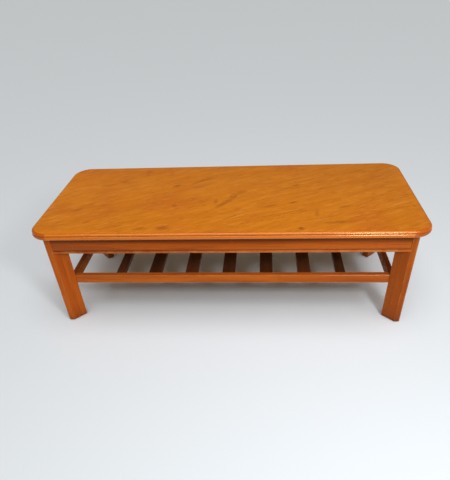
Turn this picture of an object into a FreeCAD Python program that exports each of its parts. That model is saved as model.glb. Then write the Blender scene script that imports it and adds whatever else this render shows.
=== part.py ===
import FreeCAD, Part
import os
import re
import Sketcher
from FreeCAD import Placement, Rotation, Vector

# Low coffee table with a slatted shelf under a veneered, round-cornered top.
# Millimetres. X runs along the table, Y from front to back and Z up, and the origin is
# the middle of the table on the floor.
#
# Each leg is a plank that stands on its corner's diagonal. It comes to a right-angled
# point at the outer corner, the aprons are cut at 45 degrees against its two broad
# faces, and the shelf's mitred frame is clipped at its corners by the legs' inner ends.

SIZES = (
    # The whole table
    ("table_length", 1500, "overall length of the top"),
    ("table_depth", 640, "overall depth of the top"),
    ("table_height", 450, "floor to the top's surface"),
    # The top
    ("top_corner_radius", 75, "round of the top's corners, at the widest bead"),
    ("board_thickness", 26, "core board and lipping, without the veneer"),
    ("veneer_thickness", 1, "face veneer"),
    ("lipping_width", 40, "lipping, from the core board to its widest bead"),
    ("upper_bead_radius", 9, "quarter round under the veneer's edge"),
    ("upper_bead_inset", 1.5, "upper bead's face, in from the lower bead's"),
    ("quirk_depth", 2, "groove between the beads, in from the upper bead's face"),
    # The legs
    ("leg_overhang", 40, "top's edge out past the legs' outer faces"),
    ("leg_thickness", 32, "plank thickness"),
    ("leg_width", 79, "plank width along the corner's diagonal, with its point"),
    ("leg_point_round", 6, "round of the outer point"),
    ("leg_arris_round", 4, "round between the point's faces and the broad faces"),
    ("leg_inner_round", 2.5, "round of the two inner arrises"),
    ("leg_foot_bevel", 2, "bevel round the foot's edge"),
    # The foot glides
    ("glide_diameter", 22, "disc under each leg"),
    ("glide_thickness", 2, "disc thickness, the leg's height off the floor"),
    # The aprons
    ("apron_height", 82, "apron, with its bead"),
    ("apron_thickness", 20, "apron board, without the bead's projection"),
    ("apron_setback", 3, "apron's face, in from the legs' outer faces"),
    ("apron_bead_height", 11, "bead along the bottom edge"),
    ("apron_groove_height", 4, "groove above the bead"),
    ("apron_groove_depth", 2, "groove, in from the apron's face"),
    ("apron_tenon_length", 14, "tenon past the leg's face, at the tenon's middle"),
    ("apron_tenon_thickness", 8, "tenon on each end of an apron"),
    ("apron_tenon_height", 50, "apron tenon"),
    ("apron_tenon_drop", 10, "apron tenon's top, below the apron's"),
    # The corner blocks and the batten
    ("block_thickness", 28, "corner block, along the diagonal"),
    ("block_height", 60, "corner block, down from the board"),
    ("batten_width", 45, "cross batten"),
    ("batten_height", 44, "cross batten, down from the board"),
    ("batten_housing", 8, "depth of the batten's housing in each long apron"),
    # The shelf
    ("shelf_height", 208, "floor to the top of the shelf's frame"),
    ("shelf_rail_height", 38, "rails and stretchers"),
    ("shelf_rail_round", 3, "round of the rails' and stretchers' long arrises"),
    ("slat_width", 54, "slat between the end slats"),
    ("end_slat_width", 38, "slat nearest to each stretcher"),
    ("slat_thickness", 14, "slat"),
    ("slat_end_gap", 168, "stretcher to the nearest slat"),
    ("slat_drop", 3, "slats' faces, below the top of the frame"),
    ("slat_round", 2, "round of the slats' upper arrises"),
    ("slat_tenon_length", 10, "tenon on each end of a slat"),
    ("slat_tenon_thickness", 8, "slat tenon"),
    ("slat_tenon_shoulder", 5, "slat's shoulder at each side of its tenon"),
    ("rail_tenon_length", 14, "rail's or stretcher's tenon in the leg, at its middle"),
    ("rail_tenon_thickness", 6, "tenon of a rail or a stretcher"),
    ("rail_tenon_height", 13, "tenon of a rail or a stretcher"),
    ("rail_tenon_shoulder", 4, "a rail's tenon above its bottom, a stretcher's below its top"),
    # Hanger bolts, washers and nuts
    ("bolt_diameter", 8, "hanger bolt"),
    ("bolt_in_leg", 40, "its length in the leg"),
    ("bolt_proud", 4, "its length past the nut"),
    ("bolt_spread", 30, "between the two bolts of a leg"),
    ("washer_diameter", 20, "washer"),
    ("washer_thickness", 1.6, "washer"),
    ("nut_across_flats", 13, "hexagon nut"),
    ("nut_height", 6.5, "hexagon nut"),
    # Top screws, up through the blocks and the batten into the core board
    ("top_screw_diameter", 4.5, "shank"),
    ("top_screw_head", 9, "head's diameter"),
    ("top_screw_head_height", 3, "head's height"),
    ("top_screw_length", 55, "under the head"),
    ("top_screw_bite", 15, "length in the core board"),
    ("top_screw_spread", 50, "between the two screws of a block"),
    ("batten_screw_pitch", 180, "one batten screw to the next"),
    # Clearances
    ("bore_clearance", 0.1, "between a fastener and its hole, all round"),
    ("bore_end_gap", 1, "hole's depth past the end of what it holds"),
    ("head_clearance", 0.5, "between a screw's head and its counterbore, all round"),
    ("nut_clearance", 0.2, "between a bolt and its washer or nut, all round"),
    ("tenon_end_gap", 0.5, "mortise's depth past the end of its tenon"),
    ("cut_overrun", 12, "how far every cut starts outside the wood"),
)

SLAT_COUNT = 7
BATTEN_SCREW_COUNT = 3
NUT_SIDES = 6
# Screws, bolts, washers and the holes for them are drawn with this many flat sides.
HARDWARE_SIDES = 12
QUARTER_TURN = 90
EIGHTH_TURN = 45

# Each corner: its name, its side of the table along X and along Y, and the turn that
# points its diagonal at the middle of the table.
CORNERS = (
    ("front_left", -1, -1, EIGHTH_TURN),
    ("front_right", 1, -1, EIGHTH_TURN + QUARTER_TURN),
    ("back_right", 1, 1, EIGHTH_TURN + 2 * QUARTER_TURN),
    ("back_left", -1, 1, EIGHTH_TURN + 3 * QUARTER_TURN),
)

# Each side: its name, its direction along X and along Y, and the turn that lays a piece
# drawn for the front along it.
SIDES = (
    ("front", 0, -1, 0),
    ("right", 1, 0, QUARTER_TURN),
    ("back", 0, 1, 2 * QUARTER_TURN),
    ("left", -1, 0, 3 * QUARTER_TURN),
)

# Derived lengths, as formulas in the sheet's names. A corner's own coordinates are the
# distances in from the legs' outer faces: from the end of the table, and from its long side.
TIP_X = "(table_length / 2 - leg_overhang)"
TIP_Y = "(table_depth / 2 - leg_overhang)"
BOARD_BOTTOM = "(table_height - veneer_thickness - board_thickness)"
LOWER_BEAD_RADIUS = "((board_thickness - upper_bead_radius) / 2)"
VENEER_INSET = "(upper_bead_inset + upper_bead_radius)"
LEG_SLANT = "(leg_thickness / sqrt(2))"
LEG_REACH = "(leg_width * sqrt(2))"
APRON_BACK = "(apron_setback + apron_thickness)"
APRON_LINE = "(apron_setback + apron_thickness / 2)"
BLOCK_MIDDLE = "(leg_width + block_thickness / 2)"
SHELF_FACE = f"(({LEG_REACH} - {LEG_SLANT}) / 2)"
SHELF_CORNER = f"(({LEG_REACH} + {LEG_SLANT}) / 2)"
SHELF_BOTTOM = "(shelf_height - shelf_rail_height)"
SHELF_LINE = f"({LEG_SLANT} / 4)"
SLAT_SPAN = f"(2 * ({TIP_Y} - {SHELF_CORNER}))"

ALIASES = re.compile(r"\b(" + "|".join(name for name, size, note in SIZES) + r")\b")


def formula(text):
    """Return a formula with each of the sheet's names written as the document reads it."""
    return ALIASES.sub(r"Sizes.\1", str(text))


def number(doc, text):
    """Return the value of a formula in the sheet's names."""
    return float(doc.Sizes.evalExpression(formula(text)))


def bind(thing, prop, text):
    """Tie a property to a formula in the sheet's names."""
    thing.setExpression(prop, formula(text))


def make_sheet(doc):
    """Write every driving size to the sheet, with its name and what it sets."""
    sheet = doc.addObject("Spreadsheet::Sheet", "Sizes")
    for row, (name, size, note) in enumerate(SIZES, start=1):
        sheet.set(f"A{row}", name)
        sheet.set(f"B{row}", str(size))
        sheet.set(f"C{row}", note)
        sheet.setAlias(f"B{row}", name)
    doc.recompute()


# Turns, from a piece's own Z axis to where it points

UPWARD = Rotation()
DOWNWARD = Rotation(Vector(1, 0, 0), 2 * QUARTER_TURN)


def about_z(turn):
    """Return a turn in plan."""
    return Rotation(Vector(0, 0, 1), turn)


def level(turn):
    """Return the turn that lays a Z axis level and points it along a heading in plan."""
    return about_z(turn) * Rotation(Vector(0, 1, 0), QUARTER_TURN)


def place(thing, x, y, z, turn):
    """Set a thing's turn and tie its place to three formulas."""
    thing.Placement = Placement(Vector(), turn)
    bind(thing, "Placement.Base.x", x)
    bind(thing, "Placement.Base.y", y)
    bind(thing, "Placement.Base.z", z)


def shifted(point, turn, distance):
    """Return a point of three formulas moved along a turned Z axis by a formula."""
    heading = turn.multVec(Vector(0, 0, 1))
    return [f"({at}) + ({distance}) * ({part:.12f})" for at, part in zip(point, heading)]


# Sketches and features

def origin_plane(body, role):
    """Return one of a body's own origin planes."""
    return next(item for item in body.Origin.OriginFeatures if item.Role == role)


def new_sketch(body, name, role, lift="0"):
    """Return an empty sketch on an origin plane of its body, lifted off it by a formula."""
    sketch = body.newObject("Sketcher::SketchObject", name)
    sketch.AttachmentSupport = [(origin_plane(body, role), "")]
    sketch.MapMode = "FlatFace"
    bind(sketch, "AttachmentOffset.Base.z", lift)
    return sketch


def arc_between(start, end, radius):
    """Return the minor arc from start to end, and whether start is its first end.

    A positive radius turns left on the way, and a negative one turns right.
    """
    left_turn = radius > 0
    first, last = (start, end) if left_turn else (end, start)
    chord = last - first
    half = chord.Length / 2
    rise = max(radius * radius - half * half, 0) ** 0.5
    across = Vector(-chord.y, chord.x, 0).normalize()
    middle = (first + last) / 2 + across * rise
    circle = Part.Circle(middle, Vector(0, 0, 1), abs(radius))
    arc = Part.ArcOfCircle(circle, circle.parameter(first), circle.parameter(last))
    return arc, left_turn


def draw(doc, sketch, points):
    """Draw a closed outline and tie every corner and radius of it to its formula.

    Each point is (x, y), or (x, y, turn, radius) where an arc leads on to the next point:
    turn is 1 to the left and -1 to the right.
    """
    corners = [Vector(number(doc, point[0]), number(doc, point[1]), 0) for point in points]
    ends = []
    for index, point in enumerate(points):
        start = corners[index]
        end = corners[(index + 1) % len(corners)]
        if len(point) == 2:
            edge = sketch.addGeometry(Part.LineSegment(start, end))
            ends.append((edge, 1, 2))
            continue
        turn, radius = point[2:]
        arc, forward = arc_between(start, end, turn * number(doc, radius))
        edge = sketch.addGeometry(arc)
        ends.append((edge, 1, 2) if forward else (edge, 2, 1))
        rule = sketch.addConstraint(Sketcher.Constraint("Radius", edge, number(doc, radius)))
        bind(sketch, f"Constraints[{rule}]", radius)
    for index, (edge, first, last) in enumerate(ends):
        onward, onward_first, onward_last = ends[(index + 1) % len(ends)]
        sketch.addConstraint(Sketcher.Constraint("Coincident", edge, last, onward, onward_first))
        for kind, text, size in (
            ("DistanceX", points[index][0], corners[index].x),
            ("DistanceY", points[index][1], corners[index].y),
        ):
            rule = sketch.addConstraint(Sketcher.Constraint(kind, -1, 1, edge, first, size))
            bind(sketch, f"Constraints[{rule}]", text)


def centred_rectangle(half_x, half_y, middle_y="0"):
    """Return the outline of a plain rectangle about a point on the Y axis."""
    low = f"({middle_y}) - ({half_y})"
    high = f"({middle_y}) + ({half_y})"
    return [(f"-({half_x})", low), (half_x, low), (half_x, high), (f"-({half_x})", high)]


def new_body(doc, name):
    """Return an empty body that names its file."""
    body = doc.addObject("PartDesign::Body", name)
    body.Label = name
    return body


def pad(body, sketch, length, both_ways=False):
    """Raise a sketch by a formula, from its plane or half to each side of it."""
    feature = body.newObject("PartDesign::Pad", sketch.Name + "_pad")
    feature.Profile = sketch
    feature.Midplane = both_ways
    bind(feature, "Length", length)
    return feature


def pocket(body, sketch, depth, both_ways=False):
    """Cut a sketch out, upwards from its plane or half to each side, and see that it cuts."""
    before = body.Shape.Volume
    feature = body.newObject("PartDesign::Pocket", sketch.Name + "_pocket")
    feature.Profile = sketch
    feature.Reversed = not both_ways
    feature.Midplane = both_ways
    bind(feature, "Length", depth)
    body.Document.recompute()
    if not body.Shape.Volume < before:
        raise ValueError(feature.Name + " cuts nothing")


def revolve(body, sketch, angle):
    """Turn a sketch about its upright axis, half the angle to each side of its plane."""
    feature = body.newObject("PartDesign::Revolution", sketch.Name + "_turned")
    feature.Profile = sketch
    feature.ReferenceAxis = (sketch, ["V_Axis"])
    feature.Angle = angle
    feature.Midplane = True


def bore(body, name, point, turn, diameter, depth, lead="cut_overrun"):
    """Cut a screw's or bolt's hole from a point on a face, along a turned Z axis.

    The cut starts a lead before the point, or on it where the point is a screw's seat.
    """
    feature = body.newObject("PartDesign::SubtractivePrism", name)
    feature.Polygon = HARDWARE_SIDES
    place(feature, *shifted(point, turn, f"-({lead})"), turn)
    bind(feature, "Circumradius", f"({diameter}) / 2 + bore_clearance")
    bind(feature, "Height", f"({depth}) + ({lead})")


def straight_edges(feature, keep):
    """Return the names of a feature's straight edges that a test on their two ends keeps."""
    names = []
    for index, edge in enumerate(feature.Shape.Edges, start=1):
        if edge.Curve.TypeId == "Part::GeomLine":
            first, last = (vertex.Point for vertex in edge.Vertexes)
            if keep(first, last):
                names.append(f"Edge{index}")
    return names


def round_edges(body, name, base, radius, keep):
    """Round the straight edges of a feature that a test on their two ends keeps."""
    body.Document.recompute()
    feature = body.newObject("PartDesign::Fillet", name)
    feature.Base = (base, straight_edges(base, keep))
    bind(feature, "Radius", radius)
    return feature


def runs_along(axis):
    """Return a test that keeps the edges parallel to X, Y or Z, given as 0, 1 or 2."""
    def keep(first, last):
        run = last - first
        return abs(run[axis]) > run.Length - Part.Precision.confusion()
    return keep


def upright_at(x):
    """Return a test that keeps the upright edges at one X."""
    upright = runs_along(2)

    def keep(first, last):
        return upright(first, last) and abs(first.x - x) < Part.Precision.confusion()
    return keep


# Places at a corner, from the distances in from the table's end and from its long side

def corner_point(corner, from_end, from_side):
    """Return a point's X and Y formulas from its distances in at a corner."""
    name, side_x, side_y, inward = corner
    return (
        f"{side_x} * ({TIP_X} - ({from_end}))",
        f"{side_y} * ({TIP_Y} - ({from_side}))",
    )


def on_diagonal(corner, from_end, from_side):
    """Return X and Y formulas on the axes of the corner's leg, whose X is the diagonal."""
    name, side_x, side_y, inward = corner
    return (
        f"(({from_end}) + ({from_side})) / sqrt(2)",
        f"{-side_x * side_y} * (({from_end}) - ({from_side})) / sqrt(2)",
    )


# Heights that pieces share

def pair_heights(middle, spread):
    """Return two height formulas, half a spread below and above a middle."""
    return (f"({middle}) - ({spread}) / 2", f"({middle}) + ({spread}) / 2")


APRON_BOTTOM = f"({BOARD_BOTTOM} - apron_height)"
APRON_TENON_BOTTOM = "(apron_height - apron_tenon_drop - apron_tenon_height)"
RAIL_TENON_BOTTOM = "rail_tenon_shoulder"
STRETCHER_TENON_BOTTOM = "(shelf_rail_height - rail_tenon_shoulder - rail_tenon_height)"
TOP_SCREW_SEAT = f"({BOARD_BOTTOM} - (top_screw_length - top_screw_bite))"

BOLT_HEIGHTS = pair_heights(f"({BOARD_BOTTOM} - block_height / 2)", "bolt_spread")


# The top

def rounded_rectangle(half_x, half_y, radius):
    """Return the outline of a rectangle with round corners, about the origin."""
    points = []
    for corner in CORNERS:
        name, side_x, side_y, inward = corner
        near_x = (f"{side_x} * ({half_x})", f"{side_y} * (({half_y}) - ({radius}))")
        near_y = (f"{side_x} * (({half_x}) - ({radius}))", f"{side_y} * ({half_y})")
        first, second = (near_x, near_y) if side_x * side_y > 0 else (near_y, near_x)
        points.append((*first, 1, radius))
        points.append(second)
    return points


def make_board(doc, name, inset, bottom, thickness):
    """Make a flat board with the top's outline, in from its edge by an inset."""
    body = new_body(doc, name)
    sketch = new_sketch(body, name + "_outline", "XY_Plane")
    half_x = f"table_length / 2 - ({inset})"
    half_y = f"table_depth / 2 - ({inset})"
    draw(doc, sketch, rounded_rectangle(half_x, half_y, f"top_corner_radius - ({inset})"))
    pad(body, sketch, thickness)
    place(body, "0", "0", bottom, UPWARD)
    return body


def batten_screw_places():
    """Return the Y formula of each screw along the batten."""
    middle = (BATTEN_SCREW_COUNT - 1) / 2
    return [f"{index - middle} * batten_screw_pitch" for index in range(BATTEN_SCREW_COUNT)]


def top_screw_places():
    """Return X, Y and turn of every screw that goes up into the core board."""
    places = [("0", y, UPWARD) for y in batten_screw_places()]
    along = f"{BLOCK_MIDDLE} / sqrt(2)"
    for corner in CORNERS:
        turn = about_z(corner[3])
        for sign in (-1, 1):
            across = f"{sign} * (top_screw_spread / 2) / sqrt(2)"
            spot = corner_point(corner, f"{along} + {across}", f"{along} - {across}")
            places.append((*spot, turn))
    return places


def make_core(doc):
    """Make the core board, with the top screws' pilot holes in its underside."""
    body = make_board(doc, "top_core", "lipping_width", BOARD_BOTTOM, "board_thickness")
    depth = "top_screw_bite + bore_end_gap"
    for index, (x, y, turn) in enumerate(top_screw_places(), start=1):
        bore(body, f"core_pilot_{index}", (x, y, "0"), turn, "top_screw_diameter", depth)
    return body


def make_veneer(doc):
    """Make the face veneer, which ends where the moulded edge begins."""
    bottom = "table_height - veneer_thickness"
    return make_board(doc, "top_veneer", VENEER_INSET, bottom, "veneer_thickness")


def lipping_section(outward):
    """Return the moulded section: a round lower bead, a quirk and a quarter round above.

    outward gives the formula for a distance in from the widest bead.
    """
    quirk = "(upper_bead_inset + quirk_depth)"
    reach = f"sqrt({LOWER_BEAD_RADIUS}^2 - ({LOWER_BEAD_RADIUS} - {quirk})^2)"
    ledge = f"2 * {LOWER_BEAD_RADIUS}"
    return [
        (outward("lipping_width"), "0"),
        (outward(LOWER_BEAD_RADIUS), "0", 1, LOWER_BEAD_RADIUS),
        (outward("0"), LOWER_BEAD_RADIUS, 1, LOWER_BEAD_RADIUS),
        (outward(quirk), f"{LOWER_BEAD_RADIUS} + {reach}"),
        (outward(quirk), ledge),
        (outward("upper_bead_inset"), ledge, 1, "upper_bead_radius"),
        (outward(VENEER_INSET), "board_thickness"),
        (outward("lipping_width"), "board_thickness"),
    ]


def turned_left(points):
    """Return an outline's points with every arc turning the other way."""
    return [(p[0], p[1], -p[2], p[3]) if len(p) == 4 else p for p in points]


def make_lipping(doc, side):
    """Make the straight lipping of one side, between two corner lippings."""
    name, side_x, side_y, turn = side
    body = new_body(doc, f"lipping_{name}")
    sketch = new_sketch(body, f"lipping_{name}_section", "YZ_Plane")
    draw(doc, sketch, turned_left(lipping_section(lambda distance: distance)))
    whole = "table_length" if side_y else "table_depth"
    pad(body, sketch, f"{whole} - 2 * top_corner_radius", both_ways=True)
    x = f"{side_x} * table_length / 2"
    y = f"{side_y} * table_depth / 2"
    place(body, x, y, BOARD_BOTTOM, about_z(turn))
    return body


def make_corner_lippings(doc):
    """Make the four curved lippings, each a quarter turn of the same section."""
    body = new_body(doc, "corner_lipping_pattern")
    sketch = new_sketch(body, "corner_lipping_section", "XZ_Plane")
    draw(doc, sketch, lipping_section(lambda distance: f"top_corner_radius - ({distance})"))
    revolve(body, sketch, QUARTER_TURN)
    places = []
    for name, side_x, side_y, inward in CORNERS:
        x = f"{side_x} * (table_length / 2 - top_corner_radius)"
        y = f"{side_y} * (table_depth / 2 - top_corner_radius)"
        places.append(((x, y, BOARD_BOTTOM), about_z(inward + 2 * QUARTER_TURN)))
    return make_group(doc, "lipping_corners", body, places)


# The legs

def mortise_plan(corner, reach, middle, half, by_side):
    """Return a mortise's plan in a leg: its depth runs along one side of the table.

    reach is from the table's end, or from its side where by_side is set, and middle and
    half are the mortise's middle line and half its thickness, measured the other way.
    """
    near, far = reach
    plan = [
        (near, f"{middle} - {half}"),
        (far, f"{middle} - {half}"),
        (far, f"{middle} + {half}"),
        (near, f"{middle} + {half}"),
    ]
    if by_side:
        plan = [(across, along) for along, across in plan]
    return [on_diagonal(corner, from_end, from_side) for from_end, from_side in plan]


def cut_leg_mortises(doc, body, corner):
    """Cut the mortises for two aprons, a shelf rail and a shelf stretcher."""
    apron_face = f"({APRON_LINE} + {LEG_SLANT})"
    apron_reach = (
        f"{apron_face} - apron_tenon_length - tenon_end_gap",
        f"{apron_face} + apron_tenon_thickness / 2 + cut_overrun",
    )
    apron_bottom = f"{APRON_BOTTOM} + {APRON_TENON_BOTTOM} - glide_thickness"
    rail_face = f"({SHELF_CORNER} - {SHELF_LINE})"
    rail_line = f"({SHELF_FACE} + {SHELF_LINE})"
    rail_reach = (
        f"{rail_face} - rail_tenon_length - tenon_end_gap",
        f"{rail_face} + rail_tenon_thickness / 2 + cut_overrun",
    )
    rail_bottom = f"{SHELF_BOTTOM} + {RAIL_TENON_BOTTOM} - glide_thickness"
    stretcher_bottom = f"{SHELF_BOTTOM} + {STRETCHER_TENON_BOTTOM} - glide_thickness"
    apron_half = "apron_tenon_thickness / 2"
    rail_half = "rail_tenon_thickness / 2"
    for kind, reach, middle, half, by_side, bottom, height in (
        ("apron", apron_reach, APRON_LINE, apron_half, False, apron_bottom, "apron_tenon_height"),
        ("end_apron", apron_reach, APRON_LINE, apron_half, True, apron_bottom, "apron_tenon_height"),
        ("rail", rail_reach, rail_line, rail_half, False, rail_bottom, "rail_tenon_height"),
        ("stretcher", rail_reach, rail_line, rail_half, True, stretcher_bottom, "rail_tenon_height"),
    ):
        sketch = new_sketch(body, f"{body.Name}_{kind}_mortise", "XY_Plane", bottom)
        draw(doc, sketch, mortise_plan(corner, reach, middle, half, by_side))
        pocket(body, sketch, height)


def bevel_foot(body, shaped):
    """Bevel a leg's edge all the way round its foot."""
    body.Document.recompute()
    foot = body.newObject("PartDesign::Chamfer", body.Name + "_foot")
    foot.Base = (shaped, [
        f"Edge{index}" for index, edge in enumerate(shaped.Shape.Edges, start=1)
        if edge.BoundBox.ZMax < Part.Precision.confusion()
    ])
    bind(foot, "Size", "leg_foot_bevel")
    body.Document.recompute()


def make_leg(doc, corner):
    """Make one leg: a plank whose outer edge is a right-angled point."""
    name, side_x, side_y, inward = corner
    body = new_body(doc, f"leg_{name}")
    sketch = new_sketch(body, f"leg_{name}_plan", "XY_Plane")
    half = "leg_thickness / 2"
    draw(doc, sketch, [
        ("0", "0"),
        (half, f"-{half}"),
        ("leg_width", f"-{half}"),
        ("leg_width", half),
        (half, half),
    ])
    shaped = pad(body, sketch, f"{BOARD_BOTTOM} - glide_thickness")
    for arris, x, radius in (
        ("point", "0", "leg_point_round"),
        ("arrises", half, "leg_arris_round"),
        ("inner", "leg_width", "leg_inner_round"),
    ):
        keep = upright_at(number(doc, x))
        shaped = round_edges(body, f"leg_{name}_{arris}", shaped, radius, keep)
    bevel_foot(body, shaped)
    cut_leg_mortises(doc, body, corner)
    outward = level(2 * QUARTER_TURN)
    for index, z in enumerate(BOLT_HEIGHTS, start=1):
        point = ("leg_width", "0", f"({z}) - glide_thickness")
        hole = f"leg_{name}_bolt_bore_{index}"
        bore(body, hole, point, outward, "bolt_diameter", "bolt_in_leg + bore_end_gap")
    place(body, *corner_point(corner, "0", "0"), "glide_thickness", about_z(inward))
    return body


# The aprons

def apron_section():
    """Return the apron's section: a flat board with a groove and a bead along the bottom."""
    bead = "apron_bead_height / 2"
    groove = "apron_setback + apron_groove_depth"
    groove_top = "apron_bead_height + apron_groove_height"
    return [
        (APRON_BACK, "0"),
        (APRON_BACK, "apron_height"),
        ("apron_setback", "apron_height"),
        ("apron_setback", groove_top),
        (groove, f"{groove_top} - apron_groove_depth"),
        (groove, "apron_bead_height"),
        (bead, "apron_bead_height", 1, bead),
        ("0", bead, 1, bead),
        (bead, "0"),
    ]


def apron_end_cuts(tip):
    """Return the two triangles that bevel an apron's ends against the legs' broad faces."""
    cuts = []
    for sign in (-1, 1):
        face = f"({tip} - {LEG_SLANT})"
        outside = "cut_overrun"
        inside = f"({APRON_BACK} + cut_overrun)"
        cuts.append([
            (f"{sign} * ({face} + {outside})", f"-{outside}"),
            (f"{sign} * ({face} + {outside})", inside),
            (f"{sign} * ({face} - {inside})", inside),
        ])
    return cuts


def make_apron(doc, side):
    """Make one apron, with a bevelled shoulder and a tenon at each end."""
    name, side_x, side_y, turn = side
    tip = TIP_X if side_y else TIP_Y
    body = new_body(doc, f"apron_{name}")
    section = new_sketch(body, f"apron_{name}_section", "YZ_Plane")
    draw(doc, section, apron_section())
    pad(body, section, f"2 * ({tip} - {LEG_SLANT})", both_ways=True)
    doc.recompute()
    for index, cut in enumerate(apron_end_cuts(tip), start=1):
        bevel = new_sketch(body, f"apron_{name}_bevel_{index}", "XY_Plane")
        draw(doc, bevel, cut)
        pocket(body, bevel, "2 * (apron_height + cut_overrun)", both_ways=True)
    tenons = new_sketch(body, f"apron_{name}_tenons", "XY_Plane", APRON_TENON_BOTTOM)
    reach = f"{tip} - {LEG_SLANT} - {APRON_LINE} + apron_tenon_length"
    draw(doc, tenons, centred_rectangle(reach, "apron_tenon_thickness / 2", APRON_LINE))
    pad(body, tenons, "apron_tenon_height")
    doc.recompute()
    if side_y:
        cut_housing(doc, body)
    middle = (f"{side_x} * {TIP_X}", f"{side_y} * {TIP_Y}")
    place(body, *middle, APRON_BOTTOM, about_z(turn))
    return body


def cut_housing(doc, body):
    """Cut the batten's housing into the back of a long apron, open at the top."""
    sketch = new_sketch(body, body.Name + "_housing", "XY_Plane", "apron_height - batten_height")
    half = "batten_width / 2"
    floor = f"{APRON_BACK} - batten_housing"
    edge = f"{APRON_BACK} + cut_overrun"
    draw(doc, sketch, [(f"-{half}", floor), (half, floor), (half, edge), (f"-{half}", edge)])
    pocket(body, sketch, "batten_height + cut_overrun")


# The corner blocks and the batten

def bore_top_screws(body, spots, seat, whole):
    """Cut the holes and counterbores of top screws, up and down from their heads' seats."""
    head = "top_screw_head + 2 * head_clearance"
    for index, (x, y) in enumerate(spots, start=1):
        spot = (x, y, seat)
        bore(body, f"{body.Name}_top_{index}", spot, UPWARD, "top_screw_diameter", whole, "0")
        bore(body, f"{body.Name}_top_head_{index}", spot, DOWNWARD, head, whole, "0")


def make_block(doc, corner):
    """Make the block between two aprons' backs and a leg's inner end."""
    name, side_x, side_y, inward = corner
    body = new_body(doc, f"corner_block_{name}")
    sketch = new_sketch(body, f"corner_block_{name}_plan", "XY_Plane")
    near = f"(leg_width - {APRON_BACK} * sqrt(2))"
    far = f"({near} + block_thickness)"
    draw(doc, sketch, [
        ("leg_width", f"-{near}"),
        ("leg_width + block_thickness", f"-{far}"),
        ("leg_width + block_thickness", far),
        ("leg_width", near),
    ])
    pad(body, sketch, "block_height")
    bottom = f"({BOARD_BOTTOM} - block_height)"
    for index, z in enumerate(BOLT_HEIGHTS, start=1):
        point = ("leg_width", "0", f"({z}) - {bottom}")
        hole = f"corner_block_{name}_bolt_{index}"
        bore(body, hole, point, level(0), "bolt_diameter", "block_thickness + cut_overrun")
    spots = [(BLOCK_MIDDLE, f"{sign} * top_screw_spread / 2") for sign in (-1, 1)]
    bore_top_screws(body, spots, f"{TOP_SCREW_SEAT} - {bottom}", "block_height")
    place(body, *corner_point(corner, "0", "0"), bottom, about_z(inward))
    return body


def make_batten(doc):
    """Make the cross batten, housed in the long aprons and screwed to the core board."""
    body = new_body(doc, "cross_batten")
    sketch = new_sketch(body, "cross_batten_plan", "XY_Plane")
    half_y = f"{TIP_Y} - {APRON_BACK} + batten_housing"
    draw(doc, sketch, centred_rectangle("batten_width / 2", half_y))
    pad(body, sketch, "batten_height")
    bottom = f"({BOARD_BOTTOM} - batten_height)"
    spots = [("0", y) for y in batten_screw_places()]
    bore_top_screws(body, spots, f"{TOP_SCREW_SEAT} - {bottom}", "batten_height")
    place(body, "0", "0", bottom, UPWARD)
    return body


# The shelf

def shelf_member_plan(tip):
    """Return a rail's or stretcher's plan: each end is a point between two 45 degree cuts."""
    end = f"({tip} - {SHELF_CORNER})"
    point = f"({end} + {LEG_SLANT} / 2)"
    return [
        (f"-{end}", "0"),
        (end, "0"),
        (point, f"{LEG_SLANT} / 2"),
        (end, LEG_SLANT),
        (f"-{end}", LEG_SLANT),
        (f"-{point}", f"{LEG_SLANT} / 2"),
    ]


def slat_row():
    """Return the X formula of each slat's middle and its width, evenly spaced from the left."""
    inner = SLAT_COUNT - 2
    reach = f"({TIP_X} - {SHELF_CORNER} - slat_end_gap)"
    wood = f"(2 * end_slat_width + {inner} * slat_width)"
    pitch = f"(slat_width + (2 * {reach} - {wood}) / {SLAT_COUNT - 1})"
    end = f"({reach} - end_slat_width / 2)"
    steps = [index - (inner - 1) / 2 for index in range(inner)]
    row = [(f"{step:g} * {pitch}", "slat_width") for step in steps]
    return [(f"-{end}", "end_slat_width"), *row, (end, "end_slat_width")]


def cut_mortises(doc, body):
    """Cut the slats' mortises into a rail's inner face."""
    bottom = "shelf_rail_height - slat_drop - (slat_thickness + slat_tenon_thickness) / 2"
    floor = f"{LEG_SLANT} - slat_tenon_length - tenon_end_gap"
    edge = f"{LEG_SLANT} + cut_overrun"
    for index, (x, width) in enumerate(slat_row(), start=1):
        sketch = new_sketch(body, f"{body.Name}_mortise_{index}", "XY_Plane", bottom)
        half = f"({width} / 2 - slat_tenon_shoulder)"
        left = f"{x} - {half}"
        right = f"{x} + {half}"
        draw(doc, sketch, [(left, floor), (right, floor), (right, edge), (left, edge)])
        pocket(body, sketch, "slat_tenon_thickness")


def make_shelf_member(doc, name, side, tenon_bottom):
    """Make a rail or stretcher of the shelf's frame, with a tenon at each end."""
    side_name, side_x, side_y, turn = side
    tip = TIP_X if side_y else TIP_Y
    away = TIP_Y if side_y else TIP_X
    body = new_body(doc, name)
    sketch = new_sketch(body, name + "_plan", "XY_Plane")
    draw(doc, sketch, shelf_member_plan(tip))
    bar = pad(body, sketch, "shelf_rail_height")
    round_edges(body, name + "_arrises", bar, "shelf_rail_round", runs_along(0))
    tenons = new_sketch(body, name + "_tenons", "XY_Plane", tenon_bottom)
    reach = f"{tip} - {SHELF_CORNER} + {SHELF_LINE} + rail_tenon_length"
    draw(doc, tenons, centred_rectangle(reach, "rail_tenon_thickness / 2", SHELF_LINE))
    pad(body, tenons, "rail_tenon_height")
    doc.recompute()
    if side_y:
        cut_mortises(doc, body)
    face = f"({away} - {SHELF_FACE})"
    place(body, f"{side_x} * {face}", f"{side_y} * {face}", SHELF_BOTTOM, about_z(turn))
    return body


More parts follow.
